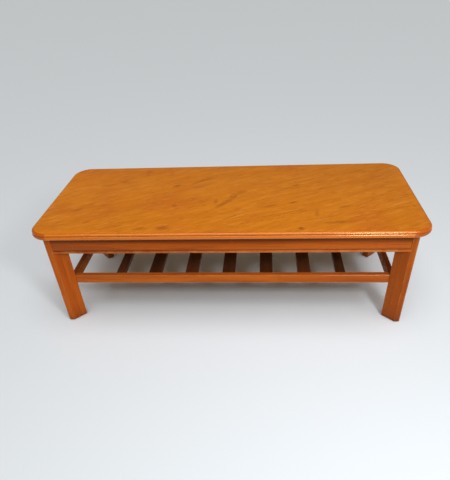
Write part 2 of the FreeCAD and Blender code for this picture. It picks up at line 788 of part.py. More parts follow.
def make_slat(doc, index, x, width):
    """Make one slat with a tenon at each end."""
    name = f"shelf_slat_{index}"
    body = new_body(doc, name)
    plan = new_sketch(body, name + "_plan", "XY_Plane")
    draw(doc, plan, centred_rectangle(f"{width} / 2", f"{SLAT_SPAN} / 2"))
    board = pad(body, plan, "slat_thickness")
    along = runs_along(1)
    round_edges(
        body, name + "_arrises", board, "slat_round",
        lambda first, last: along(first, last) and first.z > Part.Precision.confusion())
    lift = "(slat_thickness - slat_tenon_thickness) / 2"
    tenons = new_sketch(body, name + "_tenons", "XY_Plane", lift)
    half_x = f"{width} / 2 - slat_tenon_shoulder"
    draw(doc, tenons, centred_rectangle(half_x, f"{SLAT_SPAN} / 2 + slat_tenon_length"))
    pad(body, tenons, "slat_tenon_thickness")
    place(body, x, "0", "shelf_height - slat_drop - slat_thickness", UPWARD)
    return body


# Fasteners and glides: one pattern of each kind, and a group of its copies

def make_stepped_pattern(doc, name, steps):
    """Make a fastener of many-sided steps on the Z axis: each has a diameter, foot and height."""
    body = new_body(doc, name)
    for index, (diameter, foot, height) in enumerate(steps, start=1):
        step = body.newObject("PartDesign::AdditivePrism", f"{name}_step_{index}")
        step.Polygon = HARDWARE_SIDES
        place(step, "0", "0", foot, UPWARD)
        bind(step, "Circumradius", f"({diameter}) / 2")
        bind(step, "Height", height)
    return body


def make_washer_pattern(doc):
    """Make the washer, a ring on the Z axis."""
    body = make_stepped_pattern(doc, "hanger_washer_pattern", [
        ("washer_diameter", "0", "washer_thickness")])
    hole = "bolt_diameter + 2 * (nut_clearance - bore_clearance)"
    bore(body, "hanger_washer_hole", ("0", "0", "0"), UPWARD, hole, "2 * washer_thickness")
    return body


def make_nut_pattern(doc):
    """Make the hexagon nut on the Z axis."""
    body = new_body(doc, "hanger_nut_pattern")
    prism = body.newObject("PartDesign::AdditivePrism", "hanger_nut_prism")
    prism.Polygon = NUT_SIDES
    bind(prism, "Circumradius", "nut_across_flats / sqrt(3)")
    bind(prism, "Height", "nut_height")
    hole = "bolt_diameter + 2 * (nut_clearance - bore_clearance)"
    bore(body, "hanger_nut_hole", ("0", "0", "0"), UPWARD, hole, "2 * nut_height")
    return body


def make_glide_pattern(doc):
    """Make the round disc that each leg stands on."""
    body = new_body(doc, "foot_glide_pattern")
    disc = body.newObject("PartDesign::AdditiveCylinder", "foot_glide_disc")
    bind(disc, "Radius", "glide_diameter / 2")
    bind(disc, "Height", "glide_thickness")
    return body


def make_group(doc, name, pattern, places):
    """Make one node of copies of a pattern, each at a point and a turn of its own."""
    copies = []
    for index, (point, turn) in enumerate(places, start=1):
        copy = doc.addObject("App::Link", f"{name}_{index}")
        copy.LinkedObject = pattern
        place(copy, *point, turn)
        copies.append(copy)
    group = doc.addObject("Part::Compound", name)
    group.Label = name
    group.Links = copies
    return group


def bolt_line_places(distance):
    """Return the points on every hanger bolt's axis at a distance in along the diagonal."""
    places = []
    along = f"({distance}) / sqrt(2)"
    for corner in CORNERS:
        inward = corner[3]
        for z in BOLT_HEIGHTS:
            places.append(((*corner_point(corner, along, along), z), level(inward)))
    return places


def make_fasteners(doc):
    """Make every bolt, washer, nut, screw and glide, a group of each kind."""
    bolt = make_stepped_pattern(doc, "hanger_bolt_pattern", [(
        "bolt_diameter", "-bolt_in_leg",
        "bolt_in_leg + block_thickness + washer_thickness + nut_height + bolt_proud")])
    top_screw = make_stepped_pattern(doc, "top_screw_pattern", [
        ("top_screw_head", "-top_screw_head_height", "top_screw_head_height"),
        ("top_screw_diameter", "0", "top_screw_length")])
    block_back = "leg_width + block_thickness"
    nut_foot = f"{block_back} + washer_thickness"
    top_places = [((x, y, TOP_SCREW_SEAT), turn) for x, y, turn in top_screw_places()]
    foot = "leg_width / 2 / sqrt(2)"
    feet = [((*corner_point(corner, foot, foot), "0"), UPWARD) for corner in CORNERS]
    return [
        make_group(doc, "hanger_bolts", bolt, bolt_line_places("leg_width")),
        make_group(doc, "hanger_washers", make_washer_pattern(doc), bolt_line_places(block_back)),
        make_group(doc, "hanger_nuts", make_nut_pattern(doc), bolt_line_places(nut_foot)),
        make_group(doc, "top_screws", top_screw, top_places),
        make_group(doc, "foot_glides", make_glide_pattern(doc), feet),
    ]


def make_table(doc):
    """Make every sub-part of the table and return them all."""
    front, right, back, left = SIDES
    parts = [make_core(doc), make_veneer(doc)]
    parts += [make_lipping(doc, side) for side in SIDES]
    parts.append(make_corner_lippings(doc))
    parts += [make_apron(doc, side) for side in SIDES]
    parts += [make_leg(doc, corner) for corner in CORNERS]
    parts += [make_block(doc, corner) for corner in CORNERS]
    parts.append(make_batten(doc))
    parts.append(make_shelf_member(doc, "shelf_rail_front", front, RAIL_TENON_BOTTOM))
    parts.append(make_shelf_member(doc, "shelf_rail_back", back, RAIL_TENON_BOTTOM))
    parts.append(make_shelf_member(doc, "shelf_stretcher_left", left, STRETCHER_TENON_BOTTOM))
    parts.append(make_shelf_member(doc, "shelf_stretcher_right", right, STRETCHER_TENON_BOTTOM))
    parts += [make_slat(doc, index, *slat) for index, slat in enumerate(slat_row(), start=1)]
    return parts + make_fasteners(doc)


def check(doc, parts):
    """Stop if an object failed to compute or a sub-part has no valid solid."""
    for thing in doc.Objects:
        if "Invalid" in thing.State or "Error" in thing.State:
            raise ValueError(f"{thing.Name} did not compute: {thing.State}")
    for part in parts:
        if part.Shape.isNull() or not part.Shape.isValid() or not part.Shape.Solids:
            raise ValueError(f"{part.Label} has no valid solid")


def main():
    """Build the table and write one file for each sub-part."""
    doc = FreeCAD.newDocument("coffee_table")
    make_sheet(doc)
    parts = make_table(doc)
    doc.recompute()
    check(doc, parts)
    os.makedirs("parts", exist_ok=True)
    for part in parts:
        part.Shape.exportStep(f"parts/{part.Label}.step")
        box = part.Shape.BoundBox
        print(
            f"{part.Label}: {len(part.Shape.Solids)} solid, {part.Shape.Volume:.0f} mm3, "
            f"x {box.XMin:.1f} to {box.XMax:.1f}, y {box.YMin:.1f} to {box.YMax:.1f}, "
            f"z {box.ZMin:.1f} to {box.ZMax:.1f}")
    print(len(parts), "sub-parts")


main()
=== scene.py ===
"""Dress a low wooden coffee table: veneered top, moulded edge, plank legs and slatted shelf.

Every length is in metres in the row frame: X along the table, Y from front to back, Z up.
"""
import logging
import math
from collections.abc import Callable, Iterable, Sequence
from dataclasses import dataclass, replace
from enum import Enum

import bmesh
import bpy
from bmesh.types import BMEdge, BMesh, BMLayerItem, BMVert
from bpy.types import ID, Material, Mesh, Node, NodeOutputs, NodeSocket, NodeTree, Object
from mathutils import Matrix, Vector


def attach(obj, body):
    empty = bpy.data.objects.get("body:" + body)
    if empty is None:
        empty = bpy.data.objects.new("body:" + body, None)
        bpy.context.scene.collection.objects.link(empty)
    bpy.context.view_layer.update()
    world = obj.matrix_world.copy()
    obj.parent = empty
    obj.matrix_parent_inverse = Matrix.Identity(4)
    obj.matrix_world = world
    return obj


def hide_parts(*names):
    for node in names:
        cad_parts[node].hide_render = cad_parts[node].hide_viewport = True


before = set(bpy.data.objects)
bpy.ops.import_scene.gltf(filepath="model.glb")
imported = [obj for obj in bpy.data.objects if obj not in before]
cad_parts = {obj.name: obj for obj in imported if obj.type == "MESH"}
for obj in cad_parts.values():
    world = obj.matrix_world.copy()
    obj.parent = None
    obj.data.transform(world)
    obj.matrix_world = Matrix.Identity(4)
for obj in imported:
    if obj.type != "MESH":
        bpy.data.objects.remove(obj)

LOG = logging.getLogger("coffee_table")
BODY = "root"
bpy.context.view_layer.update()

QUARTER = math.pi / 2
EIGHTH = math.pi / 4
DIAGONAL = math.sqrt(2)
GRAIN_DEGREES = 25
SMOOTH_ANGLE = math.radians(32)
ROUND_STEPS = 6
ARRIS_WIDTH = 0.0022
TOUCH = 1e-6
ON_PLANE = 1e-7
NEARLY = 0.999

Colour = tuple[float, float, float, float]
Spot = tuple[float, float, float]
Point = tuple[float, float]
Source = NodeSocket | float | Sequence[float]
Feeds = dict[int | str, Source]


class Named(Enum):
    """A place on the table that nodes are named for."""

    @property
    def label(self) -> str:
        """Return the place's name as the nodes spell it."""
        return self.name.lower()


class Side(Named):
    """A side of the table: its quarter turns from the front, and how light its pieces are."""

    FRONT = (0, 0.7)
    RIGHT = (1, 0.35)
    BACK = (2, 0.6)
    LEFT = (3, 0.45)

    def __init__(self, turns: int, tone: float) -> None:
        """Keep the side's quarter turns and its tone from 0 to 1."""
        self.turns = turns
        self.tone = tone

    def turn(self) -> Matrix:
        """Return the turn about Z from the front to this side."""
        return Matrix.Rotation(self.turns * QUARTER, 4, "Z")

    def ordered(self, x: object, y: object) -> tuple:
        """Return what belongs to X and to Y, with this side's own direction first."""
        return (y, x) if self.turns % 2 else (x, y)


class Corner(Named):
    """A corner of the table: its sign along X and along Y, and how light its pieces are."""

    FRONT_LEFT = (-1, -1, 0.8)
    FRONT_RIGHT = (1, -1, 0.3)
    BACK_RIGHT = (1, 1, 0.2)
    BACK_LEFT = (-1, 1, 0.7)

    def __init__(self, x: int, y: int, tone: float) -> None:
        """Keep the signs, the tone and the heading inwards at 45 degrees to the sides."""
        self.x, self.y, self.tone = x, y, tone
        self.inward = math.atan2(-y, -x)

    def place(self, x: float, y: float, z: float = 0.0) -> Vector:
        """Return the point at this corner of a rectangle of half sizes x and y."""
        return Vector((self.x * x, self.y * y, z))


class Run(Enum):
    """The direction that a piece's grain runs in, as the turn that brings it onto X."""

    ALONG = (0, 0, 0)
    ACROSS = (0, 0, -QUARTER)
    UPRIGHT = (0, QUARTER, 0)
    SLANT = (0, 0, -math.radians(GRAIN_DEGREES))


class Effect(Enum):
    """A shader node group that several finishes share, or that one uses many times."""

    GRAIN = "wood_grain"
    LACQUER = "gloss_lacquer"
    WEAR_AND_HIGHLIGHT = "arris_wear_and_highlight"
    DUST = "settled_dust"
    MARK = "veneer_mark"


# Meshes

ROUND = {"offset_type": "OFFSET", "profile": 0.5, "material": -1}
ABOUT_Z = {"axis": (0, 0, 1), "dvec": (0, 0, 0), "use_duplicate": False}


def show(name: str, data: ID) -> Object:
    """Put a mesh, a lamp or a camera in the scene as an object."""
    thing = bpy.data.objects.new(name, data)
    bpy.context.scene.collection.objects.link(thing)
    return thing


def mesh_data(name: str, mesh: BMesh) -> Mesh:
    """Turn a bmesh, which is freed here, into a mesh with a name."""
    data = bpy.data.meshes.new(name)
    mesh.to_mesh(data)
    mesh.free()
    return data


def only(kind: type, geometry: Iterable[object]) -> list:
    """Return the items of one kind in what an operator gives back."""
    return [item for item in geometry if isinstance(item, kind)]


def clean(mesh: BMesh) -> None:
    """Merge the points that touch and turn all faces outwards."""
    bmesh.ops.remove_doubles(mesh, verts=mesh.verts, dist=TOUCH)
    bmesh.ops.recalc_face_normals(mesh, faces=mesh.faces)


def mark_faces(data: Mesh, tone: float) -> None:
    """Store what the finishes read: where the narrow rounded faces are, and the piece's own tone.

    Args:
        data: The mesh to mark.
        tone: From 0 to 1, how light this piece is among its neighbours.
    """
    shade = data.attributes.new("tone", "FLOAT", "POINT")
    shade.data.foreach_set("value", [tone] * len(data.vertices))
    arris = data.attributes.new("arris", "FLOAT", "CORNER")
    for face in data.polygons:
        around = sum((data.vertices[a].co - data.vertices[b].co).length
                     for a, b in face.edge_keys)
        narrow = float(2 * face.area / around < ARRIS_WIDTH)
        for loop in face.loop_indices:
            arris.data[loop].value = narrow


def finish_mesh(name: str, mesh: BMesh, material: Material, node: str,
                tone: float = 0.5) -> None:
    """Turn a bmesh into a dressed piece that rides on the table and stands for its node.

    Args:
        name: The piece's name.
        mesh: Its shape, in place, which is freed here.
        material: Its finish.
        node: The CAD node that it stands for.
        tone: From 0 to 1, how light this piece is among its neighbours.
    """
    clean(mesh)
    data = mesh_data(name, mesh)
    data.polygons.foreach_set("use_smooth", [True] * len(data.polygons))
    data.set_sharp_from_angle(angle=SMOOTH_ANGLE)
    mark_faces(data, tone)
    data.materials.append(material)
    piece = show(name, data)
    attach(piece, BODY)
    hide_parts(node)
    LOG.info("%s: %d faces, for %s", name, len(data.polygons), node)


def outline(points: Sequence[Point], rounds: dict[int, float],
            steps: int = ROUND_STEPS) -> BMesh:
    """Return one flat face in the XY plane, with some of its corners rounded.

    Args:
        points: The corners, in order.
        rounds: How far each rounded corner is cut back, by its place in points.
        steps: The number of edges in each round.

    Returns:
        A bmesh that holds the face.
    """
    mesh = bmesh.new()
    corners = [mesh.verts.new((x, y, 0)) for x, y in points]
    mesh.faces.new(corners)
    for index, cut in rounds.items():
        bmesh.ops.bevel(mesh, geom=[corners[index]], offset=cut, segments=steps,
                        affect="VERTICES", **ROUND)
    return mesh


def line_through(mesh: BMesh, points: Iterable[Spot], closed: bool) -> list[BMEdge]:
    """Add a line of edges to a bmesh.

    Args:
        mesh: The bmesh.
        points: The points, in order.
        closed: Whether the last point joins the first.

    Returns:
        The edges.
    """
    path = [mesh.verts.new(point) for point in points]
    ahead = path[1:] + path[:1] if closed else path[1:]
    return [mesh.edges.new(pair) for pair in zip(path, ahead)]


def raise_face(mesh: BMesh, height: float) -> None:
    """Extrude a bmesh's only face into a closed solid.

    Args:
        mesh: The bmesh.
        height: How far it rises along Z.
    """
    made = bmesh.ops.extrude_face_region(mesh, geom=mesh.faces[:], use_keep_orig=True)
    bmesh.ops.translate(mesh, verts=only(BMVert, made["geom"]), vec=(0, 0, height))
    bmesh.ops.recalc_face_normals(mesh, faces=mesh.faces)


def seam_and_shade_layer(mesh: BMesh) -> BMLayerItem:
    """Return the layer of how dark each face is painted: dark joints, painted shade, darker feet.
    """
    layers = mesh.faces.layers.float
    return layers.get("seam") or layers.new("seam")


def shade_faces(mesh: BMesh, darkness: Callable[[Vector], float]) -> None:
    """Store how dark each face is painted, as its middle tells: painted shade and darker feet."""
    layer = seam_and_shade_layer(mesh)
    for face in mesh.faces:
        face[layer] = darkness(face.calc_center_median())


def darkest(levels: Iterable[Point], distance: float) -> float:
    """Return the greatest darkness among the levels that reach past a distance."""
    return max((dark for reach, dark in levels if distance < reach), default=0.0)


def cut(mesh: BMesh, point: Sequence[float], normal: Sequence[float],
        clear: bool = False) -> list[BMEdge]:
    """Cut every face of a bmesh where it crosses a plane.

    Args:
        mesh: The bmesh.
        point: A point in the plane.
        normal: The plane's direction.
        clear: Whether what lies past the plane goes.

    Returns:
        The edges that lie in the plane.
    """
    made = bmesh.ops.bisect_plane(
        mesh, geom=[*mesh.verts, *mesh.edges, *mesh.faces], dist=ON_PLANE, plane_co=point,
        plane_no=normal, clear_outer=clear)
    return only(BMEdge, made["geom_cut"])


def slice_end(mesh: BMesh, point: Sequence[float], outward: Sequence[float]) -> None:
    """Cut away what lies past a plane and close the cut."""
    bmesh.ops.edgeloop_fill(mesh, edges=cut(mesh, point, outward, clear=True))


def edges_where(mesh: BMesh, test: Callable[[Vector], bool]) -> list[BMEdge]:
    """Return the edges that have both their ends at places that pass a test."""
    return [edge for edge in mesh.edges if all(test(vert.co) for vert in edge.verts)]


def soften(mesh: BMesh, edges: Sequence[BMEdge], size: float, steps: int,
           seam: bool = False) -> None:
    """Round some edges.

    Args:
        mesh: The shape, which has its seam layer where the edges are dark joints.
        edges: The edges.
        size: How far each edge is cut back.
        steps: The number of faces across each round.
        seam: Whether the new faces are dark joints, where dirt lies.
    """
    made = bmesh.ops.bevel(mesh, geom=edges, offset=size, segments=steps, affect="EDGES",
                           clamp_overlap=True, **ROUND)
    if seam:
        layer = seam_and_shade_layer(mesh)
        for face in made["faces"]:
            face[layer] = 1.0


def carry(mesh: BMesh, place: Matrix) -> None:
    """Move all of a bmesh to its place in the row frame."""
    bmesh.ops.transform(mesh, matrix=place, verts=mesh.verts)


def laid(x: float, y: float, z: float, sign: int = 1) -> Matrix:
    """Return the turn that lays a raised section along X, its own X along Y or against it."""
    return Matrix(((0, 0, 1, x), (sign, 0, 0, y), (0, 1, 0, z), (0, 0, 0, 1)))


def joined(parts: Iterable[BMesh]) -> BMesh:
    """Return one bmesh that holds several, which are freed.

    Args:
        parts: The bmeshes.

    Returns:
        The new one.
    """
    whole = bmesh.new()
    for part in parts:
        data = mesh_data("part", part)
        whole.from_mesh(data)
        bpy.data.meshes.remove(data)
    return whole


def lathe(profile: Iterable[Point], closed: bool = False, steps: int = 24) -> BMesh:
    """Spin a profile of radius and height about Z.

    Args:
        profile: The points, in order. One that is not closed starts or ends on the axis.
        closed: Whether the last point joins the first, as in a ring.
        steps: The number of faces round the axis.

    Returns:
        The turned shape.
    """
    mesh = bmesh.new()
    line_through(mesh, [(radius, 0, height) for radius, height in profile], closed)
    bmesh.ops.spin(mesh, geom=[*mesh.verts, *mesh.edges], cent=(0, 0, 0), angle=math.tau,
                   steps=steps, use_merge=True, **ABOUT_Z)
    clean(mesh)
    return mesh


# Shader nodes

WHITE: Colour = (1, 1, 1, 1)
SOCKETS = {type(None): "NodeSocketVector", float: "NodeSocketFloat", tuple: "NodeSocketColor"}


class Shader:
    """A node tree under construction, with short ways to add and feed its nodes."""

    def __init__(self, tree: NodeTree) -> None:
        """Keep the tree that is being filled."""
        self.tree = tree

    def feed(self, node: Node, inputs: Feeds) -> None:
        """Link a node's inputs to other sockets, or set their values.

        Args:
            node: The node.
            inputs: What feeds each input, by name or number.
        """
        for key, source in inputs.items():
            if isinstance(source, NodeSocket):
                self.tree.links.new(source, node.inputs[key])
            else:
                node.inputs[key].default_value = source

    def add(self, kind: str, inputs: Feeds | None = None, **settings: object) -> Node:
        """Add a node.

        Args:
            kind: The node's type name, without the words that all of them start with.
            inputs: What feeds each input, by name or number.
            settings: The node's own properties.

        Returns:
            The node.
        """
        node = self.tree.nodes.new(f"ShaderNode{kind}")
        for key, value in settings.items():
            setattr(node, key, value)
        self.feed(node, inputs or {})
        return node

    def math(self, operation: str, first: Source, second: Source = 0.0,
             clamp: bool = False) -> NodeSocket:
        """Return the result of a sum on one or two values."""
        return self.add("Math", {0: first, 1: second}, operation=operation,
                        use_clamp=clamp).outputs[0]

    def times(self, first: Source, second: Source, clamp: bool = False) -> NodeSocket:
        """Return one value multiplied by another."""
        return self.math("MULTIPLY", first, second, clamp)

    def plus(self, first: Source, second: Source, clamp: bool = False) -> NodeSocket:
        """Return one value added to another."""
        return self.math("ADD", first, second, clamp)

    def mix(self, share: Source, first: Source, second: Source,
            blend: str = "MIX") -> NodeSocket:
        """Return a mix of two colours."""
        return self.add("Mix", {0: share, 6: first, 7: second}, data_type="RGBA",
                        blend_type=blend).outputs[2]

    def shaded(self, colour: Source, value: Source) -> NodeSocket:
        """Return a colour multiplied by a value."""
        grey = self.add("CombineColor", dict.fromkeys(range(3), value)).outputs[0]
        return self.mix(1.0, colour, grey, "MULTIPLY")

    def between(self, value: Source, low: float, high: float, start: float = 0.0,
                end: float = 1.0) -> NodeSocket:
        """Return a value mapped smoothly from one range onto another."""
        return self.add("MapRange", {0: value, 1: low, 2: high, 3: start, 4: end},
                        interpolation_type="SMOOTHSTEP").outputs[0]

    def combined(self, *parts: Source) -> NodeSocket:
        """Return a vector made of its three parts."""
        return self.add("CombineXYZ", dict(enumerate(parts))).outputs[0]

    def vectors(self, operation: str, first: Source, second: Source) -> NodeSocket:
        """Return the result of a sum on two vectors."""
        outputs = self.add("VectorMath", {0: first, 1: second}, operation=operation).outputs
        return outputs["Value" if operation == "DOT_PRODUCT" else "Vector"]

    def turned(self, place: NodeSocket, run: Run) -> NodeSocket:
        """Return a position turned so that a direction of grain lies along X."""
        return self.add("Mapping", {"Vector": place, "Rotation": run.value}).outputs[0]

    def attribute(self, name: str) -> NodeSocket:
        """Return the value of one of the attributes that the meshes carry."""
        return self.add("Attribute", attribute_name=name).outputs["Fac"]

    def noise(self, position: Source, scale: Source, detail: float = 2.0,
              roughness: float = 0.5, distortion: float = 0.0) -> NodeSocket:
        """Add a noise texture.

        Args:
            position: Where it is read.
            scale: Its scale, or one for each axis.
            detail: Its detail.
            roughness: Its roughness.
            distortion: Its distortion.

        Returns:
            Its value.
        """
        if isinstance(scale, tuple):
            position, scale = self.vectors("MULTIPLY", position, scale), 1.0
        return self.add("TexNoise", {
            "Vector": position, "Scale": scale, "Detail": detail, "Roughness": roughness,
            "Distortion": distortion}).outputs[0]

    def patches(self, position: Source, scale: Source, low: float, high: float,
                *settings: float) -> NodeSocket:
        """Return where a noise with some settings rises from a low value to a high one."""
        return self.between(self.noise(position, scale, *settings), low, high)

    def group(self, effect: Effect, inputs: Feeds) -> NodeOutputs:
        """Place a shared node group, feed its inputs and return its outputs."""
        return self.add("Group", inputs, node_tree=bpy.data.node_groups[effect.value]).outputs

    def bumps(self, *heights: tuple[Source, float, float]) -> NodeSocket:
        """Stack bumps.

        Args:
            heights: Each height with its strength and its depth in metres.

        Returns:
            The normal that all of them give.
        """
        below: Feeds = {}
        for height, strength, depth in heights:
            node = self.add("Bump", {"Strength": strength, "Distance": depth, "Height": height,
                                     **below})
            below = {"Normal": node.outputs[0]}
        return below["Normal"]


class GroupShader(Shader):
    """A shared node group under construction, with its inputs and outputs."""

    def __init__(self, effect: Effect, inputs: dict[str, Source | None],
                 outputs: dict[str, Source]) -> None:
        """Start the group.

        Args:
            effect: Which effect it makes.
            inputs: Each input's default, by name, or None for a position.
            outputs: Each output's default, by name.
        """
        super().__init__(bpy.data.node_groups.new(effect.value, "ShaderNodeTree"))
        for direction, sockets in (("INPUT", inputs), ("OUTPUT", outputs)):
            for label, default in sockets.items():
                socket = self.tree.interface.new_socket(
                    name=label, in_out=direction, socket_type=SOCKETS[type(default)])
                if default is not None:
                    socket.default_value = default
        self.given = self.tree.nodes.new("NodeGroupInput").outputs
        self.result = self.tree.nodes.new("NodeGroupOutput")


def build_grain() -> None:
    """Build the figure that all the woods share: bands, growth streaks and pores along X."""
    shader = GroupShader(
        Effect.GRAIN,
        {"Position": None, "Tone": 0.5, "Light": WHITE, "Dark": WHITE, "Streak": WHITE,
         "Bands": 20.0, "Stretch": 0.1, "Streaks": 0.5, "Pores": 0.5},
        {"Color": WHITE, "Height": 0.0})
    given = shader.given
    tone, bands = given["Tone"], given["Bands"]
    shift = shader.vectors("MULTIPLY", shader.combined(tone, tone, tone), (7.3, 3.1, 5.7))
    position = shader.vectors("ADD", given["Position"], shift)
    wander = shader.noise(position, (2.2, 5, 5))
    sway = shader.combined(0.0, shader.times(wander, 0.05), shader.times(wander, 0.03))
    squeezed = shader.vectors("MULTIPLY", position, shader.combined(given["Stretch"], 1.0, 1.0))
    waved = shader.vectors("ADD", squeezed, sway)
    figure = shader.patches(waved, bands, 0.3, 0.7, 3.0, 0.55, 0.3)
    drawn = shader.vectors("MULTIPLY", waved, (0.6, 1, 1))
    streak = shader.patches(drawn, shader.times(bands, 5.0), 0.48, 0.72, 4.0, 0.6)
    pores = shader.patches(shader.vectors("MULTIPLY", waved, (0.5, 1, 1)), 620.0, 0.58, 0.74,
                           2.0, 0.6)
    colour = shader.mix(figure, given["Light"], given["Dark"])
    for mask, share in ((streak, given["Streaks"]), (pores, given["Pores"])):
        colour = shader.mix(shader.times(mask, share), colour, given["Streak"])
    shader.feed(shader.result, {
        "Color": shader.shaded(colour, shader.between(tone, 0.0, 1.0, 0.82, 1.18)),
        "Height": shader.math("SUBTRACT", 1.0, shader.times(pores, 0.8))})


def build_lacquer() -> None:
    """Build the surface of a brushed gloss lacquer: slight waves and wiped smudges."""
    shader = GroupShader(Effect.LACQUER, {"Position": None, "Gloss": 0.2, "Smudge": 0.1},
                         {"Roughness": 0.0, "Height": 0.0})
    given = shader.given
    position = given["Position"]
    spread = shader.vectors("MULTIPLY", position, (2.4, 5, 5))
    wiped = shader.patches(spread, 1.6, 0.4, 0.68, 4.0, 0.6, 0.6)
    peel = shader.times(shader.noise(position, 180.0), 0.25)
    shader.feed(shader.result, {
        "Roughness": shader.plus(given["Gloss"], shader.times(wiped, given["Smudge"]), True),
        "Height": shader.plus(peel, shader.noise(position, 22.0))})


def build_wear_and_highlight() -> None:
    """Build the lighter arrises: patches rubbed thin, and a painted highlight along the edges."""
    shader = GroupShader(Effect.WEAR_AND_HIGHLIGHT, {"Position": None, "Arris": 0.0, "Amount": 0.5},
                         {"Mask": 0.0})
    given = shader.given
    broad = shader.patches(given["Position"], 14.0, 0.42, 0.62, 3.0, 0.6)
    close = shader.patches(given["Position"], 120.0, 0.4, 0.6, 3.0, 0.6)
    rubbed = shader.plus(shader.times(broad, 0.7), shader.times(close, 0.3))
    shader.feed(shader.result, {"Mask": shader.times(
        shader.times(rubbed, given["Arris"]), given["Amount"], True)})


def build_dust() -> None:
    """Build the fine dust that settles on what faces up."""
    shader = GroupShader(Effect.DUST, {"Position": None, "Amount": 0.2}, {"Mask": 0.0})
    given = shader.given
    normal = shader.add("NewGeometry").outputs["Normal"]
    upward = shader.between(shader.add("SeparateXYZ", {0: normal}).outputs[2], 0.4, 0.95)
    specks = shader.patches(given["Position"], 900.0, 0.6, 0.75, 2.0, 0.6)
    cloud = shader.patches(given["Position"], 7.0, 0.4, 0.7, 3.0, 0.6)
    shader.feed(shader.result, {"Mask": shader.times(
        shader.times(specks, cloud), shader.times(upward, given["Amount"]))})


def build_mark() -> None:
    """Build one mark in the veneer: a soft, ragged patch inside the unit circle of its place."""
    shader = GroupShader(
        Effect.MARK,
        {"Place": None, "Ragged": 0.5, "Hollow": 0.0, "Strength": 1.0, "Below": 0.0},
        {"Mask": 0.0})
    given = shader.given
    along, across, _ = shader.add("SeparateXYZ", {0: given["Place"]}).outputs
    far = shader.math("SQRT", shader.plus(shader.times(along, along),
                                          shader.times(across, across)))
    ragged = shader.times(shader.math("SUBTRACT", given["Ragged"], 0.5), 1.3)
    far = shader.plus(far, ragged)
    inner = shader.times(shader.between(far, 0.45, 0.1), given["Hollow"])
    mask = shader.times(shader.math("SUBTRACT", shader.between(far, 1.0, 0.2), inner, True),
                        given["Strength"])
    shader.feed(shader.result, {"Mask": shader.math("MAXIMUM", mask, given["Below"])})


def build_effects() -> None:
    """Build every shared node group once."""
    for build in (build_grain, build_lacquer, build_wear_and_highlight, build_dust, build_mark):
        build()


# Finishes

class Finish:
    """What all the finishes share: a material whose surface shader they feed."""

    def surface(self, shader: Shader, place: NodeSocket, run: Run) -> Feeds:
        """Say what feeds the surface shader.

        Args:
            shader: The tree to add to.
            place: The position in the row frame.
            run: The direction of the grain.

        Returns:
            What feeds each input, by name.
        """
        raise NotImplementedError

    def material(self, name: str, run: Run = Run.ALONG) -> Material:
        """Make the material.

        Args:
            name: The material's name.
            run: The direction of the grain.

        Returns:
            The material.
        """
        material = bpy.data.materials.new(name)
        material.use_nodes = True
        shader = Shader(material.node_tree)
        place = shader.add("TexCoord").outputs["Object"]
        shader.feed(material.node_tree.nodes["Principled BSDF"],
                    self.surface(shader, place, run))
        return material


@dataclass(frozen=True)
class Wood(Finish):
    """A wood: the colours and the scale of its grain."""

    light: Colour
    dark: Colour
    streak: Colour
    bands: float = 30.0
    stretch: float = 0.05
    streaks: float = 0.38
    pores: float = 0.3

    def grain(self, shader: Shader, position: NodeSocket, tone: Source) -> NodeOutputs:
        """Place the grain.

        Args:
            shader: The tree to add to.
            position: The position, with the grain along X.
            tone: How light the piece is, from 0 to 1.

        Returns:
            The colour and the height, by name.
        """
        return shader.group(Effect.GRAIN, {
            "Position": position, "Tone": tone, "Light": self.light, "Dark": self.dark,
            "Streak": self.streak, "Bands": self.bands, "Stretch": self.stretch,
            "Streaks": self.streaks, "Pores": self.pores})


